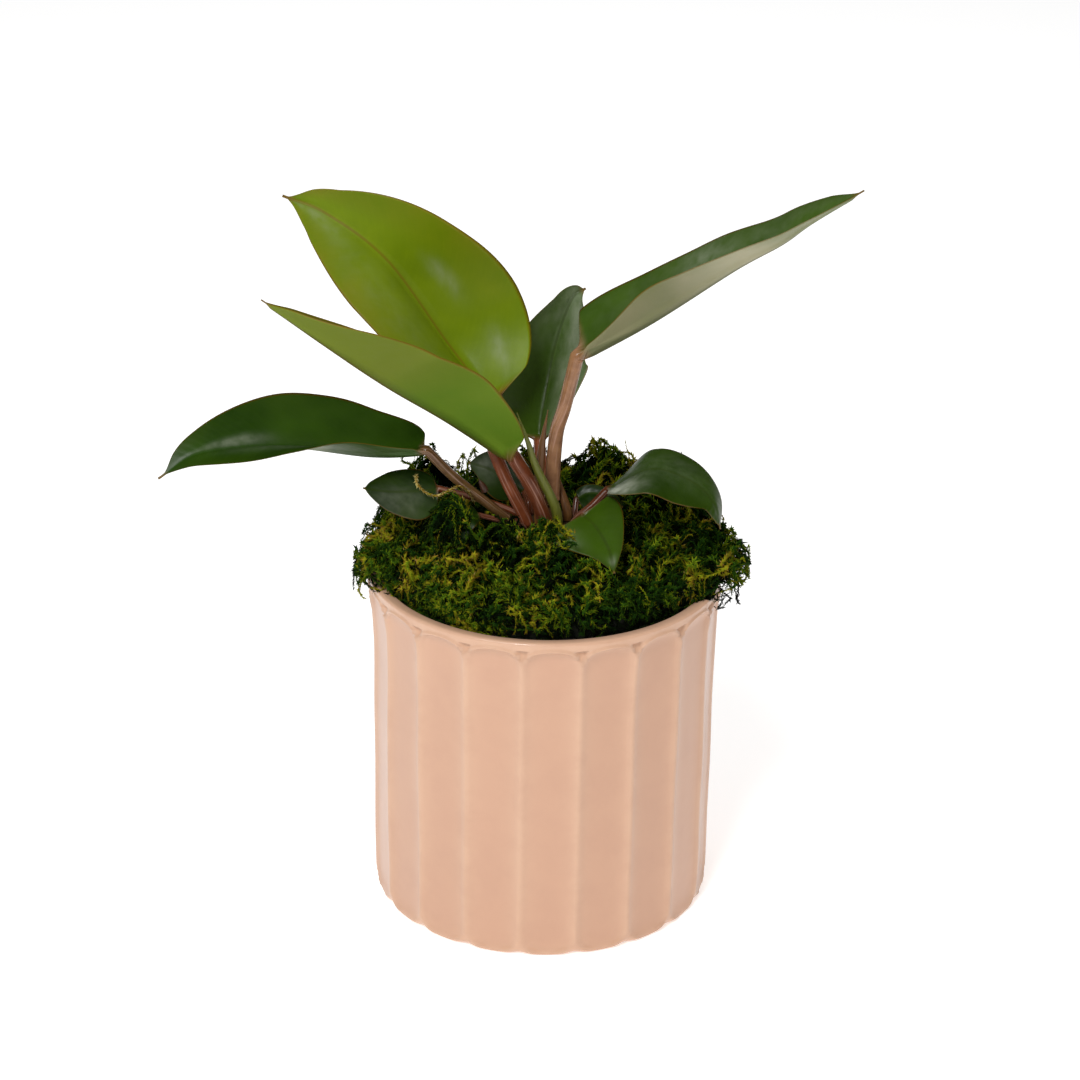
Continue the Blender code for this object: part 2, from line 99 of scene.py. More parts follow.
def build_mesh(name, points, faces, attributes=None):
    """Object from points in millimetres, a list of face arrays, and one number a point for each
    named attribute."""
    mesh = bpy.data.meshes.new(name)
    mesh.vertices.add(len(points))
    mesh.vertices.foreach_set("co", (np.asarray(points) * MM).astype(np.float32).ravel())
    sizes = np.concatenate([np.full(len(part), part.shape[1]) for part in faces])
    corners = np.concatenate([part.ravel() for part in faces])
    mesh.loops.add(len(corners))
    mesh.loops.foreach_set("vertex_index", corners.astype(np.int32))
    mesh.polygons.add(len(sizes))
    mesh.polygons.foreach_set("loop_start", (np.cumsum(sizes) - sizes).astype(np.int32))
    mesh.update(calc_edges=True)
    mesh.shade_smooth()
    for key, values in (attributes or {}).items():
        layer = mesh.attributes.new(key, "FLOAT", "POINT")
        layer.data.foreach_set("value", np.asarray(values, dtype=np.float32).ravel())
    piece = bpy.data.objects.new(name, mesh)
    bpy.context.collection.objects.link(piece)
    return piece


def tube_mesh(name, rings, attributes=None):
    """Object from rings (ring, point, xyz) that wrap round, closed at both ends with a fan."""
    count, around = rings.shape[:2]
    points = np.concatenate([rings.reshape(-1, 3), rings[:1].mean(axis=1), rings[-1:].mean(axis=1)])
    side = np.arange(around)
    start = np.stack([np.full(around, count * around), (side + 1) % around, side], axis=-1)
    last = (count - 1) * around
    end = np.stack([np.full(around, count * around + 1), last + side,
                    last + (side + 1) % around], axis=-1)
    capped = {key: np.concatenate([values.ravel(), values[0].mean(keepdims=True),
                                   values[-1].mean(keepdims=True)])
              for key, values in (attributes or {}).items()}
    return build_mesh(name, points, [grid_faces(count, around), start, end], capped)


print("three rings of four points have", len(grid_faces(3, 4)), "cells")

# %% [markdown]
# Round things are written as a turn from the front, a radius and a height.  Each finished piece
# is seated: it gets its material and takes the place of the plain solid it dresses.

# %% Round points and seating
def around_axis(turn, radius, height):
    """Points at a turn from the front towards +x, a radius from the z axis and a height."""
    turn, radius, height = np.broadcast_arrays(turn, radius, height)
    return np.stack([radius * np.sin(turn), -radius * np.cos(turn), height], axis=-1)


def seat(piece, material, slot, *nodes):
    """Give a piece its material, and let it stand for CAD nodes.  The slot is not used."""
    piece.data.materials.append(material)
    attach(piece, "root")
    if nodes:
        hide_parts(*nodes)
    triangles = sum(len(face.vertices) - 2 for face in piece.data.polygons)
    print(piece.name, triangles, "triangles")
    return piece


# %% [markdown]
# Natural and hand-made surfaces are never quite even.  A ripple is a cheap stand-in for that: the
# sum of a dozen sine waves with random directions, all about one wavelength long.  The seed
# fixes the draw, so each run gives the same surface.

# %% Ripples
WAVES = 12
WAVE_SUM = 3.5             # about the square root of their number


def ripple(points, wavelength, seed):
    """Smooth uneven number, mostly from -1 to 1: the scaled sum of plane sine waves."""
    draw = np.random.default_rng(seed)
    waves = draw.normal(size=(WAVES, 3))
    waves *= (2 * pi / wavelength) * draw.uniform(0.6, 1.5, (WAVES, 1)) / np.linalg.norm(
        waves, axis=1, keepdims=True)
    phases = draw.uniform(0, 2 * pi, WAVES)
    return np.sin(np.asarray(points) @ waves.T + phases).sum(axis=-1) / WAVE_SUM


print("a ripple at three places:", ripple(30 * np.eye(3), 45, 1).round(2))

# %% [markdown]
# ## Materials from nodes
#
# One helper adds a node of any kind with its settings, and fills or links its inputs.  Colours
# are written as sRGB hex values, as a maker reads them off a swatch, and one function turns them
# to the linear values that a shader works with.

# %% Material helpers
def linear(swatch):
    """sRGB hex text to a linear colour with alpha: the standard curve, channel by channel."""
    channels = [int(swatch[i:i + 2], 16) / 255 for i in (1, 3, 5)]
    return (*[c / 12.92 if c <= 0.04045 else ((c + 0.055) / 1.055) ** 2.4 for c in channels], 1.0)


def fill_inputs(material, node, inputs):
    """Give each input a value or a link.  A node stands for its first output that is in use."""
    for key, value in inputs.items():
        if isinstance(value, bpy.types.Node):
            value = next(output for output in value.outputs if output.enabled)
        if isinstance(value, bpy.types.NodeSocket):
            material.node_tree.links.new(value, node.inputs[key])
        else:
            node.inputs[key].default_value = value
    return node


def add_node(material, kind, inputs=None, **settings):
    """Add a node: settings are its properties, inputs the values and links of its sockets."""
    node = material.node_tree.nodes.new(kind)
    for key, value in settings.items():
        setattr(node, key, value)
    return fill_inputs(material, node, inputs or {})


def new_material(name):
    """Empty node material and its Principled shader, which faces the output already."""
    material = bpy.data.materials.new(name)
    material.use_nodes = True
    return material, material.node_tree.nodes["Principled BSDF"]


def set_ramp(node, stops):
    """Fill a colour ramp from (place, hex) pairs."""
    ramp = node.color_ramp
    while len(ramp.elements) < len(stops):
        ramp.elements.new(0.5)
    for element, (place, swatch) in zip(ramp.elements, stops):
        element.position = place
        element.color = linear(swatch)


print("middle grey in linear values:", round(linear("#808080")[0], 3))

# %% [markdown]
# ## Fluted ceramic pot
#
# The pot is cast in a fluted mould and glazed.  Its wall is one function of turn and height.  The
# radius over the ridges flares a little towards the rim and is tightly rounded at the foot.

# %% Pot body
POT_HEIGHT = 129.0
POT_RADIUS = 63.5
POT_RIM_FLARE = 1.1
POT_FLARE_START = 90.0
POT_FOOT_SHRINK = 0.6
POT_EDGE_ROUND = 2.8


def pot_ridge_radius(height):
    """Radius over the ridges: body plus a square-law flare, less the rounding at the foot."""
    flare = POT_RIM_FLARE * np.clip(
        (height - POT_FLARE_START) / (POT_HEIGHT - POT_FLARE_START), 0, 1) ** 2
    slim = POT_FOOT_SHRINK * np.clip(1 - height / POT_FLARE_START, 0, 1)
    below = np.clip(POT_EDGE_ROUND - height, 0, POT_EDGE_ROUND)
    return POT_RADIUS + flare - slim - POT_EDGE_ROUND + np.sqrt(POT_EDGE_ROUND ** 2 - below ** 2)


rim_radius = pot_ridge_radius(POT_HEIGHT)
print("pot radius at the foot and at the rim:", pot_ridge_radius(0).round(2), rim_radius.round(2))

# %% [markdown]
# Nineteen shallow scoops with arched ends run up the wall.  A soft bead runs over each arch,
# between two arches the mould leaves a small pressed triangle, and at the foot each scoop ends in
# a soft tongue with a nick on either side.  The outline of a scoop is a rounded box: the share of
# the way to its side and the share of the way to its end, each to a power, add up to one.

# %% Flutes
FLUTES = 19
FIRST_RIDGE = -6.8         # degrees from the front
FLUTE_DEPTH = 1.9
FLUTE_RIDGE_WIDTH = 1.6
FLUTE_TOP = 125.5
FLUTE_BOTTOM = 1.0
FLUTE_ARCH = 7.0           # height of the arched end
ARCH_POWER = 2.4           # two would be an ellipse
SCOOP_POWER = 0.55         # a half would be a round hollow
ARCH_BEAD = 0.6            # height of the soft bead over each arch
BEAD_PLACE = 1.15          # on the scale where the outline is at one
BEAD_WIDTH = 0.24
BEAD_START = 114           # the bead fades in from here on
BEAD_FADE = 6
FOOT_NOTCH = 1.6
FOOT_NOTCH_HEIGHT = 8.0
FOOT_NOTCH_WIDTH = 3.2
DIMPLE_DEPTH = 1.5
DIMPLE_TOP = 125.8
DIMPLE_HEIGHT = 6.5
DIMPLE_HALF_WIDTH = 2.6
DIMPLE_EDGE = 0.8          # height over which its upper side comes in


def flute_relief(turn, height):
    """Share of the scoop's depth, and all the relief in mm below the ridges: the scoop, the nicks
    at the foot and the dimples, less the bead."""
    pitch = 2 * pi / FLUTES
    across = ((turn - radians(FIRST_RIDGE)) % pitch - pitch / 2) * POT_RADIUS
    half = (pitch * POT_RADIUS - FLUTE_RIDGE_WIDTH) / 2
    past_end = np.maximum(np.maximum(height - (FLUTE_TOP - FLUTE_ARCH),
                                     FLUTE_BOTTOM + FLUTE_ARCH - height), 0)
    reach = np.abs(across / half) ** ARCH_POWER + (past_end / FLUTE_ARCH) ** ARCH_POWER
    scoop = (1 - np.clip(reach, 0, 1)) ** SCOOP_POWER
    bead = np.exp(-((reach - BEAD_PLACE) / BEAD_WIDTH) ** 2) * np.clip(
        (height - BEAD_START) / BEAD_FADE, 0, 1)
    from_ridge = pitch * POT_RADIUS / 2 - np.abs(across)
    nick = np.exp(-(from_ridge / FOOT_NOTCH_WIDTH) ** 2) * np.clip(
        1 - height / FOOT_NOTCH_HEIGHT, 0, 1) ** 2
    rise = np.clip((height - DIMPLE_TOP) / DIMPLE_HEIGHT + 1, 0, 1)
    inside = np.clip(1 - from_ridge / (DIMPLE_HALF_WIDTH * rise + 0.01), 0, 1)
    dimple = (np.clip(3 * inside, 0, 1) * np.clip((DIMPLE_TOP - height) / DIMPLE_EDGE, 0, 1)
              * rise)
    return scoop, (FLUTE_DEPTH * scoop + FOOT_NOTCH * nick + DIMPLE_DEPTH * dimple
                   - ARCH_BEAD * bead * (1 - dimple))


print("a flute is", round(2 * pi / FLUTES * POT_RADIUS, 1), "mm wide")

# %% [markdown]
# The rows of the wall lie close together at the foot, at the arches and at the rim, where the
# shape turns quickly.  A slight swell takes away the look of a thing turned on a lathe.  Then the
# lip is rounded over, and the smooth inside goes down to the floor.

# %% Build the pot
COLUMNS_A_FLUTE = 20
POT_WALL = 4.5
POT_FLOOR = 6.0
LIP_ROUND = 1.2
LIP_TONE = 0.15            # the glaze on the lip and inside is nearly that of the ridges
SWELL = 0.22
SWELL_LENGTH = 45
turn = np.linspace(0, 2 * pi, FLUTES * COLUMNS_A_FLUTE, endpoint=False)[None]
heights = np.concatenate([
    [0], POT_EDGE_ROUND * (1 - np.cos(np.linspace(0.15, pi / 2, 6))), np.linspace(3.3, 10, 12),
    np.linspace(12, 112, 22), np.linspace(113.5, POT_HEIGHT - LIP_ROUND, 44)])[:, None]
scoop, relief = flute_relief(turn, heights)
outer = around_axis(turn, pot_ridge_radius(heights) - relief, heights)
swell = SWELL * ripple(outer, SWELL_LENGTH, 1) * np.clip(heights / 20, 0, 1)
outer[..., :2] *= (1 + swell / POT_RADIUS)[..., None]

inside = rim_radius - POT_WALL
lip = np.linspace(0.25, 1, 7) * pi / 2
lip_profile = np.concatenate([
    np.stack([rim_radius - LIP_ROUND + LIP_ROUND * np.cos(lip),
              POT_HEIGHT - LIP_ROUND + LIP_ROUND * np.sin(lip)], -1),
    np.stack([inside + LIP_ROUND - LIP_ROUND * np.sin(lip),
              POT_HEIGHT - LIP_ROUND + LIP_ROUND * np.cos(lip)], -1),
    [(inside - 0.4, 95), (inside - 1.4, POT_FLOOR + 6), (inside - 2.6, POT_FLOOR + 1.5),
     (inside - 6, POT_FLOOR), (20, POT_FLOOR)]])
inner = around_axis(turn, lip_profile[:, :1], lip_profile[:, 1:])
pot_hollow = np.concatenate([scoop, np.full((len(lip_profile), turn.size), LIP_TONE)])
pot = tube_mesh("glazed_pot", np.concatenate([outer, inner]), {"hollow": pot_hollow})
print("wall of", len(heights), "rows and", turn.size, "columns")

# %% [markdown]
# Glazed earthenware: a warm peach-pink glaze over a pale body.  The glaze runs thin over the
# ridges, which look paler, and pools in the scoops.  It mottles softly over about 12 mm, and a few
# tiny iron specks show through.  A clear coat gives the wet gloss.

# %% Peach glaze
def peach_glaze():
    """Glossy pink glaze: paler on ridges, mottled, with sparse brown specks."""
    material, shader = new_material("peach_glazed_earthenware")
    place = add_node(material, "ShaderNodeTexCoord").outputs["Object"]
    hollow = add_node(material, "ShaderNodeAttribute", attribute_name="hollow").outputs["Fac"]
    body = add_node(material, "ShaderNodeMix", {
        "Factor": hollow, "A": linear("#cda68b"), "B": linear("#c49a80")}, data_type="RGBA")
    mottle = add_node(material, "ShaderNodeTexNoise", {       # 80 a metre, 12.5 mm each
        "Vector": place, "Scale": 80.0, "Detail": 5.0, "Roughness": 0.6})
    amount = add_node(material, "ShaderNodeMapRange", {
        "Value": mottle, "From Min": 0.42, "From Max": 0.66, "To Max": 0.35})
    warm = add_node(material, "ShaderNodeMix", {
        "Factor": amount, "A": body, "B": linear("#bd937b")}, data_type="RGBA")
    specks = add_node(material, "ShaderNodeTexVoronoi", {"Vector": place, "Scale": 90.0})
    dot = add_node(material, "ShaderNodeMapRange", {
        "Value": specks.outputs["Distance"], "From Min": 0.035, "From Max": 0.02})
    rare = add_node(material, "ShaderNodeMath", {0: specks.outputs["Color"], 1: 0.93},
                    operation="GREATER_THAN")                 # only one cell in many has a speck
    speck = add_node(material, "ShaderNodeMath", {0: dot, 1: rare}, operation="MULTIPLY")
    colour = add_node(material, "ShaderNodeMix", {
        "Factor": speck, "A": warm, "B": linear("#7a4a2a")}, data_type="RGBA")
    orange_peel = add_node(material, "ShaderNodeTexNoise", {  # soft dimples of 4 mm
        "Vector": place, "Scale": 260.0, "Detail": 2.0})
    bump = add_node(material, "ShaderNodeBump", {
        "Height": orange_peel, "Strength": 0.06, "Distance": 0.0005})
    fill_inputs(material, shader, {
        "Base Color": colour, "Normal": bump, "Roughness": 0.4, "Specular IOR Level": 0.25,
        "Coat Weight": 0.4, "Coat Roughness": 0.06, "IOR": 1.5})
    return material


seat(pot, peach_glaze(), "pink_glaze", "ceramic_pot")

# %% [markdown]
# ## Black nursery pot
#
# The plant still stands in its thin, injection-moulded polypropylene pot.  Only a crescent of its
# rolled lip shows inside the ceramic rim, but the shape goes all the way down so that the pot can
# be looked into from below the moss.

# %% Grow pot
GROW_POT_TOP = 127.6
GROW_POT_TOP_RADIUS = 58.4
GROW_POT_BASE_RADIUS = 46.0
GROW_POT_TAPER = 12.0      # how much wider the side ends, over its height
GROW_POT_SIDE = 119
GROW_POT_UNDERSIDE = 6.3
GROW_POT_FLOOR = 7.4
GROW_POT_LIP = 1.6
LIP_BEAD = 0.8             # radius of the rolled lip


def profile_rings(profile, around):
    """Rings about the z axis: each (radius, height) pair swept once round."""
    radius, height = np.asarray(profile, dtype=float).T[:, :, None]
    turn = np.linspace(0, 2 * pi, around, endpoint=False)[None]
    return around_axis(turn, radius, height)


grow_profile = [(20, GROW_POT_UNDERSIDE), (GROW_POT_BASE_RADIUS - 2, GROW_POT_UNDERSIDE),
                (GROW_POT_BASE_RADIUS - 0.4, 7.2)]
grow_profile += [(GROW_POT_BASE_RADIUS + GROW_POT_TAPER * part,
                  GROW_POT_UNDERSIDE + GROW_POT_SIDE * part) for part in (0.05, 0.5, 0.97)]
grow_profile += [(GROW_POT_TOP_RADIUS - LIP_BEAD + LIP_BEAD * cos(a),
                  GROW_POT_TOP - LIP_BEAD + LIP_BEAD * sin(a))
                 for a in np.linspace(-0.5, 1, 10) * pi]
grow_profile += [(GROW_POT_TOP_RADIUS - GROW_POT_LIP, 124),
                 (GROW_POT_BASE_RADIUS - 1.2, GROW_POT_FLOOR), (20, GROW_POT_FLOOR)]
grow_pot = tube_mesh("nursery_pot", profile_rings(grow_profile, 180))


def black_polypropylene():
    """Injection-moulded black plastic: dark grey, satin, with a fine moulded grain."""
    material, shader = new_material("black_polypropylene")
    place = add_node(material, "ShaderNodeTexCoord").outputs["Object"]
    dust = add_node(material, "ShaderNodeTexNoise", {         # dusty patches of 3 mm
        "Vector": place, "Scale": 300.0, "Detail": 4.0})
    colour = add_node(material, "ShaderNodeMix", {
        "Factor": dust, "A": linear("#0b0b0c"), "B": linear("#2a2826")}, data_type="RGBA")
    grain = add_node(material, "ShaderNodeTexNoise", {"Vector": place, "Scale": 1500.0})
    bump = add_node(material, "ShaderNodeBump", {
        "Height": grain, "Strength": 0.15, "Distance": 0.0002})
    fill_inputs(material, shader, {"Base Color": colour, "Normal": bump, "Roughness": 0.42})
    return material


seat(grow_pot, black_polypropylene(), "black_plastic", "grow_pot")

# %% [markdown]
# ## Leaves
#
# A philodendron leaf is a long heart or oval on a round stalk.  It is folded up a little along
# its midrib, the midrib itself arches back, and the tip draws out to a drip point.  Each leaf is
# one surface: a path (stalk, then midrib), a width along it, and two halves that fold and curl.
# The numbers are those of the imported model, except that one half of two of the leaves widens more
# slowly at its base.

# %% Leaf data
class Leaf(NamedTuple):
    """One leaf, in millimetres and degrees."""
    foot: tuple            # x, y where the stalk leaves the stem
    stalk: tuple           # points along the stalk
    midrib: tuple          # points from the base of the blade to its tip
    facing_base: tuple     # where the upper side looks at the base: compass, height
    facing_tip: tuple      # the same at the tip
    half_width: float
    shape: tuple           # powers of the width, towards the base and towards the tip
    left: tuple            # fold at base and at tip, curl and share of the width of this half
    right: tuple
    stalk_radius: float
    tone: float            # 0 dark to 1 light
    stalk_tone: float      # 0 dark brown-red to 1 tan-green
    finish: str            # which of the leaf materials
    # The places of waxy bloom are painted sheen: a soft whitish highlight laid into the colour.
    painted_sheen: tuple = ()      # places with waxy bloom: along, across, their spreads, strength
    slow: tuple = (0, 0)   # share of the length over which each half widens at the base


# The last tuple of many leaves places their painted sheen, soft whitish highlights laid into the
# colour.
LEAVES = {
    "tall_leaf": Leaf(
        (-6.8, -4), ((-8, -4, 151), (-15, -4, 166), (-20, -3, 180)),
        ((-19, 0, 193), (-36, 14, 210), (-58, 14, 242), (-80, 19, 257.6), (-96, 22, 263)),
        (41, 53), (-28, 63), 31, (0.55, 1.05), (47, -16, 0, 1.16), (20, 70, 16, 1.03), 2.5,
        0.5, 0.25, "bright_leaf", ((0.5, -0.5, 0.35, 0.35, 0.09), (0.9, -0.25, 0.12, 0.2, 0.3),
                                   (0.45, 0.4, 0.07, 0.08, 0.4), (0.14, 0.5, 0.06, 0.1, 0.4))),
    "left_front_leaf": Leaf(
        (-0.5, -8), ((-1, -9, 153), (-6, -12, 167)),
        ((-12, -13, 178), (-35, -19, 196), (-56, -30, 213), (-77, -39, 231), (-99, -38, 246)),
        (71, 72), (71, 92), 27.6, (0.63, 0.95), (62, 47, -8, 1.0), (93, 92, 0, 0.5), 3.0,
        0.5, 0.15, "olive_leaf"),
    "left_low_leaf": Leaf(
        (-11.5, -6), ((-13, -7, 150), (-22, -10, 159), (-33, -14, 170)),
        ((-43, -18, 182.4), (-63, -12, 178.4), (-96, -14, 182), (-124, -21, 181),
         (-138, -26, 173)),
        (-11, 87), (2, 71), 24.6, (0.8, 1.35), (65, -13, 1, 0.9), (9, 22, -4, 1.1), 2.0,
        0.4, 0.35, "low_leaf", ((0.7, 0.15, 0.1, 0.1, 0.45), (0.5, -0.25, 0.2, 0.2, 0.15)),
        (0.5, 0)),
    "right_long_leaf": Leaf(
        (3.5, -1), ((2, 0, 157), (3, -3, 182), (6, -5, 195)),
        ((10, -6, 214.6), (35, -7, 229.6), (64, -10, 250.6), (80, -11.5, 260.6), (90, -12, 268.4),
         (108, -12, 280)),
        (-79, 87), (-73, 86), 17.8, (0.22, 0.75), (30, 28, -4, 1.12), (66, 20, 0, 0.93), 2.8,
        0.7, 0.8, "green_leaf", ((0.47, -0.5, 0.07, 0.5, 0.25), (0.6, -0.5, 0.5, 0.6, 0.12)),
        (0, 0.38)),
    # Its high tone of 0.9 is partly its own green and partly painted light, which lifts the shade
    # cast by the tall leaf.
    "back_leaf": Leaf(
        (0, 5.5), ((0, 8, 152), (-2, 15, 161)),
        ((-3, 20, 170), (-2, 25, 180), (2, 34, 202), (8, 31, 222), (13, 32, 226)),
        (-28, 45), (4, 48), 20, (0.5, 0.7), (28, 55, 19, 0.92), (44, 17, 7, 1.04), 2.2,
        0.9, 0.3, "green_leaf", ((0.5, 0.6, 0.6, 0.4, 0.55), (0.9, -0.2, 0.25, 0.8, 0.4))),
    # Its stalk tone of 0.1 paints the stalk near-black: painted shadow where it crosses the front
    # leaf.
    "right_small_leaf": Leaf(
        (10, -4), ((11.5, -4.5, 151), (16, -4, 155)),
        ((22, -2, 161), (37, -5, 171), (51, -7, 168), (60, -10, 161), (63, -15, 152)),
        (3, 79), (56, 12), 17.4, (0.6, 0.94), (-16, -15, -10, 1.0), (20, -3, 5, 1.0), 1.5,
        0.4, 0.1, "green_leaf", ((0.12, 0.6, 0.14, 0.4, 1.4), (0.45, -0.2, 0.35, 0.6, 0.1))),
    # Its tone below zero and its near-black stalk are painted shade, as it lies under the right
    # small leaf.
    "shaded_leaf": Leaf(
        (11, 1.5), ((10.5, 3, 150.5),),
        ((11, 5.5, 154), (15.5, 5.5, 156.5), (22, 5, 155.5), (28, 3, 152)),
        (-20, 55), (10, 55), 8, (0.3, 0.6), (10, 5, 0, 0.4), (5, 0, -10, 0.9), 1.1,
        -0.3, 0.05, "green_leaf"),
    "front_small_leaf": Leaf(
        (8, -9), ((9.5, -9, 151),),
        ((13, -9.5, 154.5), (17.5, -17, 153.5), (22.5, -27, 149), (24.6, -36.5, 143.8)),
        (-28, 57), (-15, 45), 15, (0.22, 1.15), (2, 8, 0, 0.8), (16, 8, -6, 1.15), 0.9,
        0.75, 0.1, "green_leaf", ((0.25, 0.75, 0.2, 0.25, 0.3), (0.85, -0.1, 0.07, 0.4, 0.45))),
    "left_small_leaf": Leaf(
        (-10, -1), ((-11.5, -1.2, 151), (-25, -3, 157)),
        ((-39, -6, 162), (-48, -8, 162), (-57, -11, 163), (-66, -13, 165)),
        (0, 54), (0, 67), 12, (0.56, 0.87), (-6, 3, -8, 1.0), (-9, -3, -12, 1.0), 1.3,
        0.15, 0.2, "green_leaf", ((0.6, -0.4, 0.4, 0.7, 0.24),)),
    "behind_leaf": Leaf(
        (-6, 6), ((-6.5, 7, 151),),
        ((-8, 11, 154), (-13, 13, 157), (-21, 15, 161), (-29, 16, 163)),
        (-20, 50), (-10, 60), 10, (0.6, 0.9), (10, 10, 0, 1.0), (10, 10, 0, 1.0), 1.4,
        0.1, 0.2, "green_leaf", ((0.75, 0.0, 0.22, 0.7, 0.4),)),
    # Its tone of -0.8 is painted shade: the leaf lies deep in the moss.
    "sunken_leaf": Leaf(
        (-7.5, -9.5), ((-9, -10.5, 150), (-17, -12.5, 153)),
        ((-24, -13, 155), (-28, -15, 156), (-31, -18, 153), (-32, -22, 146)),
        (-30, 60), (-30, 20), 5.5, (0.6, 0.8), (0, 0, -10, 1.0), (0, 0, -10, 1.0), 1.0,
        -0.8, 0.1, "green_leaf"),
}
print(len(LEAVES), "leaves")

# %% [markdown]
# A few helpers carry a section along a path: a smooth curve through given points, a direction
# for where the upper side looks, and at each place a frame of one direction across and one up.

# %% Paths and frames
CURVE_STEPS = 40           # short straight steps in each span of a curve


def unit(vectors):
    """Vectors scaled to length one."""
    return vectors / np.linalg.norm(vectors, axis=-1, keepdims=True)


def lengths_along(path):
    """Length of the path up to each of its points."""
    return np.concatenate([[0], np.cumsum(np.linalg.norm(np.diff(path, axis=0), axis=1))])


def smooth_path(points, shares):
    """Points at shares of the length of a Catmull-Rom curve through the given ones."""
    knots = np.asarray(points, dtype=float)
    knots = np.vstack([2 * knots[0] - knots[1], knots, 2 * knots[-1] - knots[-2]])
    spans = len(knots) - 3
    place = np.linspace(0, spans, CURVE_STEPS * spans + 1)
    span = np.minimum(place.astype(int), spans - 1)
    t = (place - span)[:, None]
    p0, p1, p2, p3 = (knots[span + shift] for shift in range(4))
    curve = 0.5 * (2 * p1 + (p2 - p0) * t + (2 * p0 - 5 * p1 + 4 * p2 - p3) * t ** 2
                   + (3 * p1 - p0 - 3 * p2 + p3) * t ** 3)
    length = lengths_along(curve)
    return np.stack([np.interp(shares * length[-1], length, curve[:, axis])
                     for axis in range(3)], axis=-1)


def smooth_step(share):
    """Smooth rise from 0 to 1: three times the square less twice the cube."""
    return share * share * (3 - 2 * share)


def facing_vector(facing):
    """Unit vector for a compass angle from the front and a height angle, in degrees."""
    compass, height = np.radians(facing)
    return np.array([np.sin(compass) * np.cos(height), -np.cos(compass) * np.cos(height),
                     np.sin(height)])


def side_frames(path, facings):
    """Across and upward directions along a path whose upper side looks along the facings."""
    along = unit(np.gradient(path, axis=0))
    up = unit(facings - np.sum(facings * along, axis=1, keepdims=True) * along)
    return np.cross(along, up), up


# %% [markdown]
# The width of a blade is one power of the way from the base times another of the way to the tip,
# which gives a heart, an oval or a lance.  The blade is thickest at the midrib, and each half is a
# strip that slopes up from it and bends on its way out.

# %% Blade section
DRIP_TIP = 0.1             # share of the length that draws out to a point
NARROWEST = 0.45
BLADE_THICKNESS = 0.55
MARGIN_THICKNESS = 0.2
RIB_THICKNESS = 0.8        # at the tip; it swells towards the stalk
RIB_WIDTH = 1.6


def blade_width(leaf, place):
    """Half width at a share of the length: the two powers, scaled so that the widest place has
    the leaf's half width, then drawn out at the tip and opened round the stalk at the base."""
    base_power, tip_power = leaf.shape
    widest = base_power / (base_power + tip_power)
    width = (leaf.half_width * place ** base_power * (1 - place) ** tip_power
             / (widest ** base_power * (1 - widest) ** tip_power))
    width = width * (1 - (1 - np.clip((1 - place) / DRIP_TIP, 0, 1)) ** 2)
    return np.maximum(width + leaf.stalk_radius * (1 - place) ** 3, NARROWEST)


def blade_thickness(leaf, place, width, out):
    """Thickness at shares of the way along and out: it falls to the margin with the sixth power,
    a bell-shaped rib lies along the midrib, and narrow places are thin."""
    thick = BLADE_THICKNESS + (MARGIN_THICKNESS - BLADE_THICKNESS) * out ** 6
    rib = RIB_THICKNESS + (leaf.stalk_radius - 0.5) * (1 - place[:, None])
    thick = thick + (rib - BLADE_THICKNESS) * np.exp(-(out * width[:, None] / RIB_WIDTH) ** 2)
    return thick * np.clip(width / 2, 0.35, 1)[:, None]


def fold_half(side, fold, place, width, out):
    """One half across: the slope angle grows from fold to fold + curl, and is summed outwards."""
    fold_base, fold_tip, curl, share = fold
    angle = np.radians(fold_base + (fold_tip - fold_base) * place[:, None] + curl * out)
    run, rise = np.cos(angle), np.sin(angle)
    gaps = np.diff(out)
    lead = np.zeros((len(place), 1))
    sideways = np.hstack([lead, np.cumsum((run[:, 1:] + run[:, :-1]) * gaps / 2, axis=1)])
    upward = np.hstack([lead, np.cumsum((rise[:, 1:] + rise[:, :-1]) * gaps / 2, axis=1)])
    scale = (width * share)[:, None]
    return (np.stack([side * sideways * scale, upward * scale], axis=-1),
            np.stack([-side * rise, run], axis=-1))


middle = blade_width(LEAVES["tall_leaf"], np.array([0.5]))[0]
print("the tall leaf has a half width of", middle.round(1), "mm at its middle")

# %% [markdown]
# Small relief makes a blade alive: side veins leave the midrib at an even spacing and slant
# forward, the blade is quilted a little between them, the margin waves, and a groove runs along
# the midrib.

# %% Half a blade
VEIN_SPACING = 3.4         # mm between two side veins, along the midrib
VEIN_SLANT = 0.75          # mm forward for each mm outwards
VEIN_BEND = 0.008          # and more and more with the square of the way out
VEIN_WANDER = 0.25         # of the spacing
QUILT = 0.04               # height of the quilting
WAVE = 0.22                # height of the wave at the margin
GROOVE_DEPTH = 0.35
GROOVE_WIDTH = 0.9
FULL_RELIEF = 8            # half width from which the relief has its whole height
SLOW_START = 0.12          # share of its width with which a slow half starts


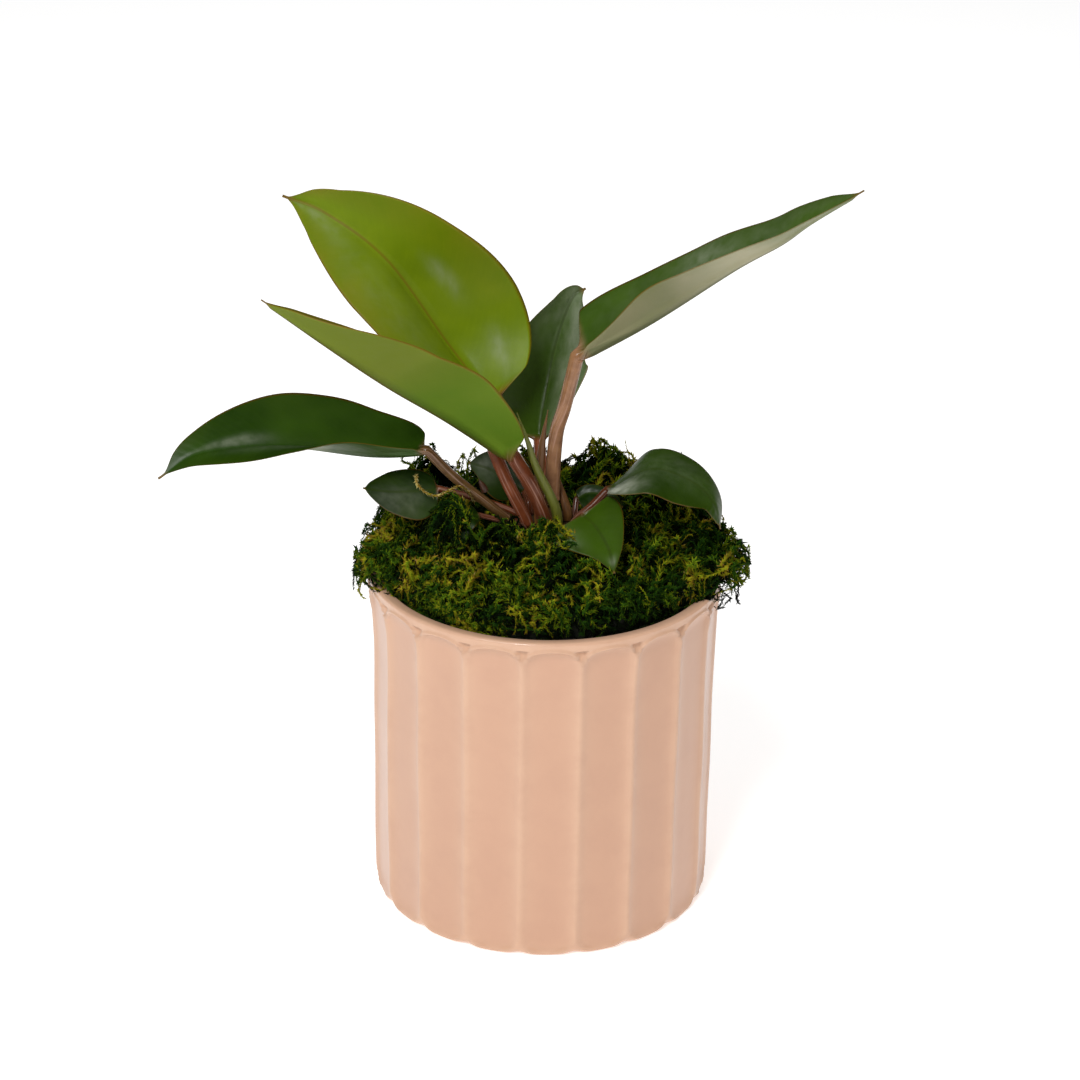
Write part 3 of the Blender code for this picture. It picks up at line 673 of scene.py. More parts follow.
def half_blade(leaf, side, place, width, blade_length, out, seed):
    """Upper and lower points of one half, as pairs across and up, and the numbers they carry.
    Along the normals of the folded half lie a sine from vein to vein, a wave that grows with the
    cube of the way out and a bell-shaped groove, and the thickness goes down from there."""
    fold, other = (leaf.left, 0) if side < 0 else (leaf.right, 3)
    slow = leaf.slow[side > 0]
    grown = np.clip(place / slow, 0, 1) if slow else 1 + 0 * place
    half_width = width * (SLOW_START + (1 - SLOW_START) * smooth_step(grown))
    points, normals = fold_half(side, fold, place, half_width, out)
    normals[:, 0] = (0, 1)                     # both halves meet at the midrib with one normal
    reach = out * half_width[:, None] * fold[3]
    flat = 0 * reach
    phase = (blade_length - VEIN_SLANT * reach - VEIN_BEND * reach ** 2) / VEIN_SPACING
    phase = phase + VEIN_WANDER * ripple(
        np.stack([reach, blade_length + flat, flat + other], -1), 30, seed)
    quilt = QUILT * np.sin(2 * pi * phase) * np.sin(pi * out) ** 0.7
    wave = WAVE * out ** 3 * ripple(
        np.stack([flat, blade_length + flat, flat + 40 * other], -1), 26, seed + 1)
    groove = -GROOVE_DEPTH * np.exp(-(reach / GROOVE_WIDTH) ** 2)
    share = np.clip(width / FULL_RELIEF, 0, 1)[:, None]
    lift = (quilt + wave + groove) * share
    thick = blade_thickness(leaf, place, width, out)
    across = side * out + flat
    # Painted sheen: bell-shaped patches of whitish highlight, laid into the colour of the upper
    # side.
    painted_sheen = sum((strength * np.exp(-((place[:, None] - middle) / length_spread) ** 2
                                   - ((across - aside) / side_spread) ** 2)
                 for middle, aside, length_spread, side_spread, strength in leaf.painted_sheen), flat)
    return {"top": points + lift[..., None] * normals,
            "under": points + (lift - groove * share - thick)[..., None] * normals,
            "vein": phase, "across": across, "reach": reach, "painted_sheen": painted_sheen}


# %% [markdown]
# Stalk and blade are one surface.  Its rings run once round the section, and at the base of the
# blade the round section of the stalk opens into that of the blade by a smooth step.

# %% Leaf surface
STEM_TOP = 147.3
BLADE_OPENS = 0.05         # share of the length over which the stalk opens into the blade
STALK_FLATNESS = 0.9       # height of the stalk's section as a share of its width


def ring_order(left_top, right_top, right_under, left_under):
    """Once round a blade section: across the top from the left, then back underneath."""
    return np.concatenate([left_top[:, ::-1], right_top[:, 1:], right_under[:, -2::-1],
                           left_under[:, 1:-1]], axis=1)


def leaf_surface(leaf, rows, per_side, seed):
    """Rings (ring, point, xyz) of stalk and blade, and the attributes each point carries.  A path
    runs up the stalk and along the midrib, each place on it has a frame across and up, and the
    section in that frame changes from an ellipse to the two halves of the blade."""
    stalk_rows = 8 * len(leaf.stalk) + 16
    even = np.linspace(0, 1, rows)
    along_blade = even - np.sin(2 * pi * even) / (4 * pi)     # rows lie closer at both ends
    stalk_line = ((*leaf.foot, STEM_TOP), *leaf.stalk, leaf.midrib[0])
    path = np.vstack([smooth_path(stalk_line, np.linspace(0, 1, stalk_rows))[:-1],
                      smooth_path(leaf.midrib, along_blade)])
    place = np.concatenate([np.zeros(stalk_rows - 1), along_blade])
    facings = ((1 - place)[:, None] * facing_vector(leaf.facing_base)
               + place[:, None] * facing_vector(leaf.facing_tip))
    across, up = side_frames(path, facings)
    length = lengths_along(path)
    blade_length = (length - length[stalk_rows - 1])[:, None]
    out = np.linspace(0, 1, per_side) ** 0.85                 # columns lie closer at the margin
    width = blade_width(leaf, place)
    left, right = (half_blade(leaf, side, place, width, blade_length, out, seed)
                   for side in (-1, 1))
    blade = ring_order(left["top"], right["top"], right["under"], left["under"])
    angle = pi - np.arange(blade.shape[1]) * 2 * pi / blade.shape[1]
    stalk = leaf.stalk_radius * np.stack([np.cos(angle), STALK_FLATNESS * np.sin(angle)], axis=-1)
    mix = smooth_step(np.clip(place / BLADE_OPENS, 0, 1))[:, None, None]
    section = (1 - mix) * stalk + mix * blade
    rings = path[:, None] + section[..., :1] * across[:, None] + section[..., 1:] * up[:, None]
    rings[0, :, 2] = STEM_TOP
    attributes = {key: ring_order(left[key], right[key], right[key], left[key])
                  for key in ("vein", "across", "reach")}
    flat, whole = 0 * left["vein"], 0 * blade[..., 0]
    attributes["under"] = ring_order(flat, flat, flat + 1, flat + 1)
    attributes["along"] = place[:, None] + whole
    attributes["blade"] = mix[..., 0] + whole
    attributes["painted_sheen"] = ring_order(left["painted_sheen"], right["painted_sheen"], flat, flat)
    attributes["tone"] = leaf.tone + whole
    attributes["stalk_tone"] = leaf.stalk_tone + whole
    return rings, attributes


# %% [markdown]
# A leaf shows many small things: paler side veins, a sunken midrib, a thin tan margin, a dry drip
# tip, a duller and paler underside, and a soft whitish sheen on the waxy cuticle, which is painted
# into the colour as streaky patches.  The stalk belongs to the same surface and is smooth, shiny
# and brown-red to tan, with pale highlight streaks painted along it.  Each colour lies over the
# last one like a thin coat, which comes in where a number of the surface says so.

# %% Coats of colour
LEAF_NUMBERS = ("vein", "across", "reach", "under", "along", "blade", "painted_sheen", "tone",
                "stalk_tone")


def lay_coats(material, colour, coats):
    """Colours laid over one another: each swatch comes in, up to its strength, while its source
    goes from low to high."""
    for source, low, high, strength, swatch in coats:
        share = add_node(material, "ShaderNodeMapRange", {
            "Value": source, "From Min": low, "From Max": high, "To Max": strength})
        colour = add_node(material, "ShaderNodeMix", {
            "Factor": share, "A": colour, "B": linear(swatch)}, data_type="RGBA")
    return colour


def upper_side(material, number, place, broad, vein_line, dark, light, tinge):
    """Green that varies with tone and a broad noise, with pale veins, a bronze tinge towards the
    margin and the tip, and a painted sheen: whitish streaks where the painted_sheen number is high."""
    uneven = add_node(material, "ShaderNodeMath", {0: broad, 1: 0.5}, operation="SUBTRACT")
    level = add_node(material, "ShaderNodeMath", {0: number["tone"], 1: uneven}, operation="ADD")
    green = add_node(material, "ShaderNodeMix", {
        "Factor": level, "A": linear(dark), "B": linear(light)}, data_type="RGBA")
    veined = add_node(material, "ShaderNodeMix", {
        "Factor": vein_line, "A": green, "B": linear(light)}, data_type="RGBA")
    young = 1.0
    for source, low, high, strength in ((number["from_midrib"], 0.35, 1.0, 0.6),
                                        (number["along"], 0.1, 0.8, 1.0), (broad, 0.3, 0.6, 1.0)):
        share = add_node(material, "ShaderNodeMapRange", {
            "Value": source, "From Min": low, "From Max": high, "To Max": strength})
        young = add_node(material, "ShaderNodeMath", {0: young, 1: share}, operation="MULTIPLY")
    tinged = add_node(material, "ShaderNodeMix", {
        "Factor": young, "A": veined, "B": linear(tinge)}, data_type="RGBA")
    # Painted sheen in streaks of 4 mm by 9 mm.
    drawn = add_node(material, "ShaderNodeMapping", {         # wax streaks, 4 mm by 9 mm
        "Vector": place, "Scale": (260, 260, 110)})
    painted_light_streak = add_node(material, "ShaderNodeTexNoise", {
        "Vector": drawn, "Scale": 1.0, "Detail": 3.0})
    painted_sheen_streaks = add_node(material, "ShaderNodeMapRange", {
        "Value": painted_light_streak, "From Min": 0.1, "From Max": 0.75})
    # The painted sheen mixes a whitish grey-green highlight into the colour.
    painted_sheen_share = add_node(material, "ShaderNodeMath", {0: number["painted_sheen"], 1: painted_sheen_streaks},
                   operation="MULTIPLY")
    return add_node(material, "ShaderNodeMix", {
        "Factor": painted_sheen_share, "A": tinged, "B": linear("#a3a896")}, data_type="RGBA")


def stalk_skin_colour(material, number, place, middle, swatch):
    """Brown-red to tan by the stalk's tone, with dark mottles and pale lengthwise streaks of
    painted highlight.
    """
    ramp = add_node(material, "ShaderNodeValToRGB", {"Fac": number["stalk_tone"]})
    # The near-black end of the ramp is painted shadow, which the stalks of the right small and
    # shaded leaves take.
    set_ramp(ramp, ((0.0, "#200c05"), (0.3, swatch), (1.0, "#967352")))
    height = add_node(material, "ShaderNodeSeparateXYZ", {"Vector": place}).outputs["Z"]
    across, under, up, own = (
        add_node(material, "ShaderNodeMath", {0: source, 1: factor}, operation="MULTIPLY")
        for source, factor in ((number["across"], 5.0), (number["under"], 20.0), (height, 45.0),
                               (number["tone"], 50.0)))
    side = add_node(material, "ShaderNodeMath", {0: across, 1: under}, operation="ADD")
    lengthwise = add_node(material, "ShaderNodeCombineXYZ", {"X": side, "Y": up, "Z": own})
    painted_light_streak = add_node(material, "ShaderNodeTexNoise", {
        "Vector": lengthwise, "Scale": 1.0, "Detail": 2.0})
    # The pale lengthwise streaks are painted highlights.
    return lay_coats(material, ramp, ((middle, 0.4, 0.75, 0.5, "#34150a"),
                                      (painted_light_streak, 0.52, 0.68, 0.4, "#c39a88")))


# %% [markdown]
# The coats then come together.  The underside takes over where the surface faces down, the stalk
# where there is no blade, and the roughness follows them: a stalk is shiny, the upper side has the
# satin of wax and the underside is dull.

# %% Waxy leaf
STALK_ROUGHNESS = 0.16


def leaf_material(name, dark, light, tinge, under, under_base, rib, stalk_skin, gloss, shine):
    """Leaf material from its swatches; tinge is the bronze towards the margin of a young leaf,
    gloss the roughness of the upper side and shine the strength of its mirror reflection."""
    material, shader = new_material(name)
    place = add_node(material, "ShaderNodeTexCoord").outputs["Object"]
    number = {key: add_node(material, "ShaderNodeAttribute", attribute_name=key).outputs["Fac"]
              for key in LEAF_NUMBERS}
    number["from_midrib"] = add_node(material, "ShaderNodeMath", {0: number["across"]},
                                     operation="ABSOLUTE")
    broad, middle, fine = (
        add_node(material, "ShaderNodeTexNoise", {"Vector": place, "Scale": a_metre,
                                                  "Detail": detail})
        for a_metre, detail in ((45.0, 4.0), (240.0, 3.0), (900.0, 3.0)))
    within = add_node(material, "ShaderNodeMath", {0: number["vein"]}, operation="FRACT")
    centred = add_node(material, "ShaderNodeMath", {0: within, 1: 0.5}, operation="SUBTRACT")
    from_vein = add_node(material, "ShaderNodeMath", {0: centred}, operation="ABSOLUTE")
    vein_line = add_node(material, "ShaderNodeMapRange", {
        "Value": from_vein, "From Min": 0.2, "From Max": 0.02, "To Max": 0.06})

    upper = upper_side(material, number, place, broad, vein_line, dark, light, tinge)
    lower = lay_coats(material, linear(under), (
        (number["along"], 0.55, 0.35, 1.0, under_base), (number["along"], 0.6, 1.0, 0.7, light),
        (broad, 0.35, 0.7, 0.3, light)))
    skin = add_node(material, "ShaderNodeMix", {
        "Factor": number["under"], "A": upper, "B": lower}, data_type="RGBA")
    skin = lay_coats(material, skin, (         # the midrib, the tan margin and the dry tip
        (number["reach"], 0.75, 0.35, 0.5, rib),
        (number["from_midrib"], 0.95, 0.985, 0.5, "#7c5216"),
        (number["along"], 0.955, 0.985, 0.8, "#6d5122")))
    stalk = stalk_skin_colour(material, number, place, middle, stalk_skin)
    colour = add_node(material, "ShaderNodeMix", {
        "Factor": number["blade"], "A": stalk, "B": skin}, data_type="RGBA")

    grain = add_node(material, "ShaderNodeMath", {0: fine, 1: 0.5}, operation="MULTIPLY")
    ridges = add_node(material, "ShaderNodeMath", {0: vein_line, 1: grain}, operation="ADD")
    bump = add_node(material, "ShaderNodeBump", {
        "Height": ridges, "Strength": 0.2, "Distance": 0.0003})
    uneven = add_node(material, "ShaderNodeMath", {0: middle, 1: 0.5}, operation="SUBTRACT")
    dull, patchy = (
        add_node(material, "ShaderNodeMath", {0: source, 1: 0.2}, operation="MULTIPLY")
        for source in (number["under"], uneven))
    rough = add_node(material, "ShaderNodeMath", {0: dull, 1: patchy}, operation="ADD")
    satin = add_node(material, "ShaderNodeMapRange", {
        "Value": number["blade"], "To Min": STALK_ROUGHNESS, "To Max": gloss})
    rough = add_node(material, "ShaderNodeMath", {0: rough, 1: satin}, operation="ADD")
    fill_inputs(material, shader, {"Base Color": colour, "Normal": bump, "Roughness": rough,
                                   "Specular IOR Level": shine})
    return material


LEAF_MATERIALS = {        # dark, light, tinge, underside, its base, rib, stalk, gloss, shine
    "bright_leaf": leaf_material("waxy_young_leaf", "#4b6300", "#788c08", "#6e5c18", "#7d7f30",
                                 "#7d7f30", "#6b4d0c", "#824528", 0.40, 0.12),
    "olive_leaf": leaf_material("matt_olive_leaf", "#41560a", "#667414", "#7a5c1c", "#5f6c14",
                                "#4c6a08", "#5c4010", "#824528", 0.46, 0.2),
    "low_leaf": leaf_material("waxy_dark_leaf", "#0d2600", "#345206", "#2c3c06", "#a3a688",
                              "#263c06", "#24400a", "#4e3819", 0.36, 0.3),
    "green_leaf": leaf_material("waxy_green_leaf", "#0f2400", "#3a5606", "#2c3c06", "#9d997b",
                                "#777554", "#2c3c08", "#824528", 0.34, 0.3),
}
print(len(LEAF_MATERIALS), "leaf materials")

# %% [markdown]
# Eleven leaves come from the one function.  A big leaf gets more rows and columns than a small
# one, so that the curves look equally smooth.

# %% Build the leaves
BIG_LEAF = 15.0            # mm of half width

for number, (name, leaf) in enumerate(LEAVES.items()):
    big = leaf.half_width > BIG_LEAF
    rings, attributes = leaf_surface(leaf, 130 if big else 70, 15 if big else 10, 10 + number)
    slot = "green_leaf" if leaf.finish == "low_leaf" else leaf.finish
    seat(tube_mesh(name + "_blade", rings, attributes), LEAF_MATERIALS[leaf.finish], slot, name)

# %% [markdown]
# ## Sheaths and bud
#
# Every new leaf of a philodendron is wrapped in a sheath, a narrow scale that dries to brown and
# splits off.  Three stand between the stalks, and one red bud sits on the low left stalk.  Each is
# a flattened ellipse carried along a path, with shallow pleats that wind a little.

# %% Sheath shapes
SHEATHS = {                # path, facing, half width, half thickness
    "tall_sheath": (((-2.2, -2.8, 147.3), (-3, -3, 160), (-2, -3, 178), (0, -2, 192)),
                    (0, 10), 2.0, 1.4),
    "green_sheath": (((4.5, -7.5, 147.3), (3, -8.5, 157), (-4, -10, 173), (-7, -11, 183),
                      (-11, -10, 194)), (0, 10), 1.8, 1.4),
    "short_sheath": (((7.8, 1, 147.3), (7.6, 1.2, 151), (4.8, 4.5, 159), (3, 6, 166)),
                     (20, 10), 1.7, 1.3),
    "red_bud": (((-22.2, -10.1, 163.3), (-22.9, -10.3, 165), (-24.5, -10.5, 168)),
                (0, 10), 1.3, 1.3),
}
SHEATH_ROWS = 60
PLEAT_DEPTH = 0.05
PLEATS = 7


def sheath_rings(line, facing, half_width, thickness):
    """Ellipses along a path that narrow to the tip with the 2.5th power; their radius ripples
    with the angle."""
    share = np.linspace(0, 1, SHEATH_ROWS)
    path = smooth_path(line, share)
    across, up = side_frames(path, np.tile(facing_vector(facing), (SHEATH_ROWS, 1)))
    taper = np.maximum(1 - share ** 2.5, 0.08)[:, None]
    angle = np.linspace(0, 2 * pi, 28, endpoint=False)[None]
    pleat = 1 + PLEAT_DEPTH * np.sin(PLEATS * angle + 3 * share[:, None])
    side = taper * half_width * np.cos(angle) * pleat
    rise = taper * thickness * np.sin(angle) * pleat
    return path[:, None] + side[..., None] * across[:, None] + rise[..., None] * up[:, None]


print(len(SHEATHS), "scales")

# %% [markdown]
# A scale is papery: long fibres run up it, dull with a little shine.  The noise is drawn out along
# the height, so that a fibre is about 1 mm wide and 17 mm long.

# %% Dry scales
def dry_scale(name, dark, light):
    """Papery scale leaf: two colours in long fibres, which also stand up as fine ridges."""
    material, shader = new_material(name)
    place = add_node(material, "ShaderNodeTexCoord").outputs["Object"]
    drawn = add_node(material, "ShaderNodeMapping", {"Vector": place, "Scale": (1100, 1100, 60)})
    fibres = add_node(material, "ShaderNodeTexNoise", {
        "Vector": drawn, "Scale": 1.0, "Detail": 5.0})
    colour = add_node(material, "ShaderNodeMix", {
        "Factor": fibres, "A": linear(dark), "B": linear(light)}, data_type="RGBA")
    bump = add_node(material, "ShaderNodeBump", {
        "Height": fibres, "Strength": 0.5, "Distance": 0.0003})
    fill_inputs(material, shader, {"Base Color": colour, "Normal": bump, "Roughness": 0.45})
    return material


papery_sheath = dry_scale("dry_red_brown_sheath", "#3c1c0a", "#80582a")
green_sheath = dry_scale("fresh_olive_sheath", "#3a3c0c", "#747a28")
red_bud_skin = dry_scale("dark_red_bud_skin", "#22100a", "#4a2a14")
SCALE_SKINS = {"red_bud": (red_bud_skin, "bud"), "green_sheath": (green_sheath, "sheath")}
for name, shape in SHEATHS.items():
    skin, slot = SCALE_SKINS.get(name, (papery_sheath, "sheath"))
    seat(tube_mesh(name + "_scale", sheath_rings(*shape)), skin, slot, name)

# %% [markdown]
# ## Stem and potting mix
#
# The short stem is woody and scarred where old stalks fell off.  The mix is peat with bark crumbs
# and stays hidden below the moss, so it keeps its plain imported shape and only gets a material.

# %% Stem and mix
CROWN_RADIUS = 13.5
CROWN_TOP = 147.0
CROWN_BASE = 114.3
SCAR_DEPTH = 0.5
crown_profile = [(6, CROWN_BASE), (CROWN_RADIUS - 4, CROWN_BASE)]
crown_profile += [(CROWN_RADIUS - 1.2 + SCAR_DEPTH * sin(z), z)
                  for z in np.linspace(118, CROWN_TOP - 3, 24)]
crown_profile += [(CROWN_RADIUS - 0.8, CROWN_TOP - 1), (CROWN_RADIUS - 2, CROWN_TOP),
                  (5, CROWN_TOP)]


def fibrous(name, dark, light, scale):
    """Dull plant or peat material: two browns in crumbs of the given count a metre."""
    material, shader = new_material(name)
    place = add_node(material, "ShaderNodeTexCoord").outputs["Object"]
    crumbs = add_node(material, "ShaderNodeTexNoise", {
        "Vector": place, "Scale": scale, "Detail": 8.0, "Roughness": 0.7})
    spread = add_node(material, "ShaderNodeMapRange", {
        "Value": crumbs, "From Min": 0.35, "From Max": 0.65})
    colour = add_node(material, "ShaderNodeMix", {
        "Factor": spread, "A": linear(dark), "B": linear(light)}, data_type="RGBA")
    bump = add_node(material, "ShaderNodeBump", {
        "Height": crumbs, "Strength": 0.8, "Distance": 0.001})
    fill_inputs(material, shader, {"Base Color": colour, "Normal": bump, "Roughness": 0.9})
    return material


seat(tube_mesh("woody_crown", profile_rings(crown_profile, 64)),
     fibrous("scarred_green_stem", "#241509", "#5a4422", 160.0), "stem", "crown_stem")
mix_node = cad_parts["potting_mix"]
mix_node.data.materials.clear()
mix_node.data.materials.append(fibrous("peat_and_bark_mix", "#0d0805", "#3a2819", 420.0))
print("crown and mix done")

# %% [markdown]
# ## Moss cushion
#
# Dried and dyed cushion moss hides the mix.  Its body is a low ring with soft hummocks that rolls
# out over the ceramic rim, except at the front, where it ends inside the lip.  On its own that
# body would look like felt, so it is kept a little low and coloured near-black, as painted shade
# deep between the shoots, and short feathery shoots lie on it in thousands.

# %% Moss shape
MOSS_WELL_RADIUS = 14.2
MOSS_EDGE_RADIUS = 68.0
MOSS_FRONT_PULL = 11.0
MOSS_FRONT_START = 0.15    # cosine of the turn where the front begins
MOSS_FRONT_FADE = 0.4
MOSS_LEAN = 1.5            # how much further out it lies on the right
MOSS_EDGE_HEIGHT = 133.5
MOSS_HEIGHT = 139.5
MOSS_FALL_RADIUS = 62
HUMMOCKS = (               # centre x, centre y, rise, spread
    (-43, 27, 21, 13), (-10, 46, 14, 15), (22, 46, 17, 13), (46, 36, 16, 14), (60, 6, 4, 12),
    (-56, -12, 4, 12), (0, -20, 9, 12), (14, 14, 5, 12), (30, -38, -2, 14),
)


def moss_height(x, y):
    """Cushion that falls off with the fourth power of the radius, plus bell-shaped hummocks."""
    fall = np.clip(np.hypot(x, y) / MOSS_FALL_RADIUS, 0, 1) ** 4
    height = MOSS_HEIGHT - (MOSS_HEIGHT - MOSS_EDGE_HEIGHT) * fall
    for centre_x, centre_y, rise, spread in HUMMOCKS:
        height = height + rise * np.exp(-((x - centre_x) ** 2 + (y - centre_y) ** 2) / spread ** 2)
    return height


def moss_front(turn):
    """1 over the front of the pot and 0 elsewhere, with a smooth step between."""
    return smooth_step(np.clip((np.cos(turn) - MOSS_FRONT_START) / MOSS_FRONT_FADE, 0, 1))


def moss_edge(turn):
    """Radius where the moss ends: inside the lip at the front, out over the rim elsewhere."""
    front = moss_front(turn)
    return (MOSS_EDGE_RADIUS + MOSS_LEAN * np.sin(turn) + np.sin(5 * turn + 0.6) * (1 - front)
            - MOSS_FRONT_PULL * front)


print("moss edge in front and behind:", moss_edge(0).round(1), moss_edge(pi).round(1))

# %% [markdown]
# The body is one closed skin: its top runs in from the edge to the well round the stem, and its
# underside goes down inside the grow pot and comes out again below the edge.  A ripple with a
# wavelength of 7 mm and a finer one roughen it.

# %% Moss body
MOSS_AROUND = 240
MOSS_SINK = 2.6            # how far the body lies below the shoots
MOSS_TUCK = 4.5            # how far the body's edge lies inside that of the shoots
POT_INSIDE = 56.3          # radius of the grow pot's inside at its lip
turn = np.linspace(0, 2 * pi, MOSS_AROUND, endpoint=False)[None]
edge = moss_edge(turn) - MOSS_TUCK
share = np.linspace(1, 0, 60)[:, None]
top = around_axis(turn, MOSS_WELL_RADIUS + (edge - MOSS_WELL_RADIUS) * share, 0.0)
cushion = moss_height(top[..., 0], top[..., 1])
top[..., 2] = cushion - (MOSS_SINK + 0.25 * np.maximum(cushion - MOSS_HEIGHT, 0))
top[..., 2] += 1.1 * ripple(top, 7, 5) + 0.6 * ripple(top, 3.5, 6)
tucked = np.array([MOSS_WELL_RADIUS, 36, POT_INSIDE - 1.5, POT_INSIDE, 0, 0])[:, None]
rolled = np.array([0, 0, 0, 0, -2.5, 0])[:, None] + edge
radius = np.where(tucked > 0, tucked, np.maximum(rolled, POT_INSIDE))
height = np.array([116, 115, 115, 128, 129.8, 131.2])[:, None]
moss_rings = np.concatenate([around_axis(turn, radius, height), top])
moss_body = build_mesh("moss_cushion", moss_rings.reshape(-1, 3),
                       [grid_faces(len(moss_rings), MOSS_AROUND, wrap_rows=True)])
# The near-black felt is painted shade for the depths between the shoots.
seat(moss_body, fibrous("moss_felt_painted_shade", "#040601", "#161c06", 700.0), "moss", "moss")

# %% [markdown]
# A shoot is a short path with small pointed leaves set round it in a spiral, as on a real moss
# shoot, and three shoots in a row make a strand.  All the strands of a patch are worked out at
# once: arrays run over strands, then places along them.  A strand lies on the cushion, and past
# its edge the strand slows down and droops.

# %% Strands on the moss
LEAVES_A_SHOOT = 18
PARTS = 3                  # shoots in a row along one strand
HEADING_WAVER = 0.7        # radians
HEIGHT_WAVER = 0.8
OVERHANG = 6.0             # how far a strand reaches past the edge


def lay_strands(x, y, heading, curl, lift, rise, stand, length, tuft, draw):
    """Paths over the moss: the plan heading turns steadily and wavers, and the height is that of
    the moss and its tuft plus an arch, plus how far the free end stands up.  Past the edge the
    radius nears its limit as a hyperbolic tangent does, and the height falls."""
    count = len(x)
    share = np.linspace(0, 1, PARTS * LEAVES_A_SHOOT)[None]
    angle = heading[:, None] + curl[:, None] * share + HEADING_WAVER * np.sin(
        8 * share + draw.uniform(0, 2 * pi, (count, 1)))
    step = length[:, None] / (PARTS * LEAVES_A_SHOOT)
    x = x[:, None] + np.cumsum(np.sin(angle) * step, axis=1)
    y = y[:, None] - np.cumsum(np.cos(angle) * step, axis=1)
    turn = np.arctan2(x, -y)
    radius = np.hypot(x, y)
    edge = moss_edge(turn) - 1.5
    front = moss_front(turn)
    over = np.maximum(radius - edge, 0)
    reach = OVERHANG - (2.2 + 1.4 * np.sin(turn)) * front
    radius = np.where(over > 0, edge + reach * np.tanh(over / reach), radius)
    radius = np.maximum(radius, MOSS_WELL_RADIUS + 0.5)
    x, y = radius * np.sin(turn), -radius * np.cos(turn)
    waver = HEIGHT_WAVER * np.sin(12 * share + draw.uniform(0, 2 * pi, (count, 1)))
    arch = lift[:, None] + waver + rise[:, None] * np.sin(pi * share)
    arch = arch + stand[:, None] * share ** 2
    droop = (0.5 + 0.3 * draw.normal(0, 1, (count, 1)) * (1 - front)) * over
    centre_x, centre_y, swell, spread = tuft
    heap = swell * np.exp(-((x - centre_x) ** 2 + (y - centre_y) ** 2) / spread ** 2)
    z = moss_height(x, y) + heap + arch - droop - 0.5
    lowest = np.where(radius > POT_RADIUS + 2, 124.0, POT_HEIGHT + 1.2 - 2.0 * front)
    return np.stack([x, y, np.maximum(z, lowest)], axis=-1)


# %% [markdown]
# A moss leaf is three faces: a small triangle at the shoot and a tip out and forward.  A shoot has
# eighteen of them, so it stays light.  The tip is a little lighter than the base.

# %% Leaves on the shoots
SPIRAL = 2.4               # radians from one leaf to the next, the golden angle
LEAF_FORWARD = 0.80
LEAF_OUTWARD = 0.60
LEAF_WIDTH = 0.2           # share of its length
BASE_SHADE = -0.12
TIP_LIGHT = 0.1


def dress_shoots(name, paths, tone, leaf_length, draw):
    """Mesh of slender three-sided leaves: each turns on from the last one round the path, its
    base triangle lies at the path, and its tip is its length times forward and outward."""
    count = len(paths)
    along = unit(np.gradient(paths, axis=1))
    side = unit(np.cross(along, np.array([0.0, 0.0, 1.0]) + 0 * along))
    up = np.cross(side, along)
    spiral = SPIRAL * np.arange(LEAVES_A_SHOOT)[None] + draw.uniform(0, 2 * pi, (count, 1))
    outward = np.cos(spiral)[..., None] * side + np.sin(spiral)[..., None] * up
    length = leaf_length[:, None, None] * draw.uniform(0.7, 1.2, (count, LEAVES_A_SHOOT, 1))
    tip = paths + length * (LEAF_FORWARD * along + LEAF_OUTWARD * outward)
    width = LEAF_WIDTH * length
    points = np.stack([paths + width * np.cross(along, outward),
                       paths - width * np.cross(along, outward),
                       paths - width * outward, tip], axis=2).reshape(-1, 3)
    base = 4 * np.arange(count * LEAVES_A_SHOOT)[:, None, None]
    faces = (base + np.array([[0, 1, 3], [1, 2, 3], [2, 0, 3]])[None]).reshape(-1, 3)
    leaf_tone = tone[:, None] + draw.normal(0, 0.04, (count, LEAVES_A_SHOOT))
    tones = leaf_tone[..., None] + np.array([BASE_SHADE, BASE_SHADE, BASE_SHADE, TIP_LIGHT])
    return build_mesh(name, points, [faces], {"tone": tones})


# %% [markdown]
# Strands that are strewn at random look like noise, and moss grows in clumps.  Three ripples give
# the clumps: one gathers light and dark strands, one combs neighbours one way, and one lifts small
# lumps and lightens them as painted light, so that the hollows between them look shaded.

# %% Moss patches
CLUMP_SIZE, COMB_SIZE, LUMP_SIZE = 16, 26, 9
CLUMP_TONE = 0.19
COMB_TURN = 2.6            # radians
LUMP_LIFT = 1.8
# Raised lumps are lightened: painted light on their tops.
LUMP_PAINTED_LIGHT = 0.08
DARKEST = 0.14             # below the middle tone of the patch
LIGHTEST = 0.8


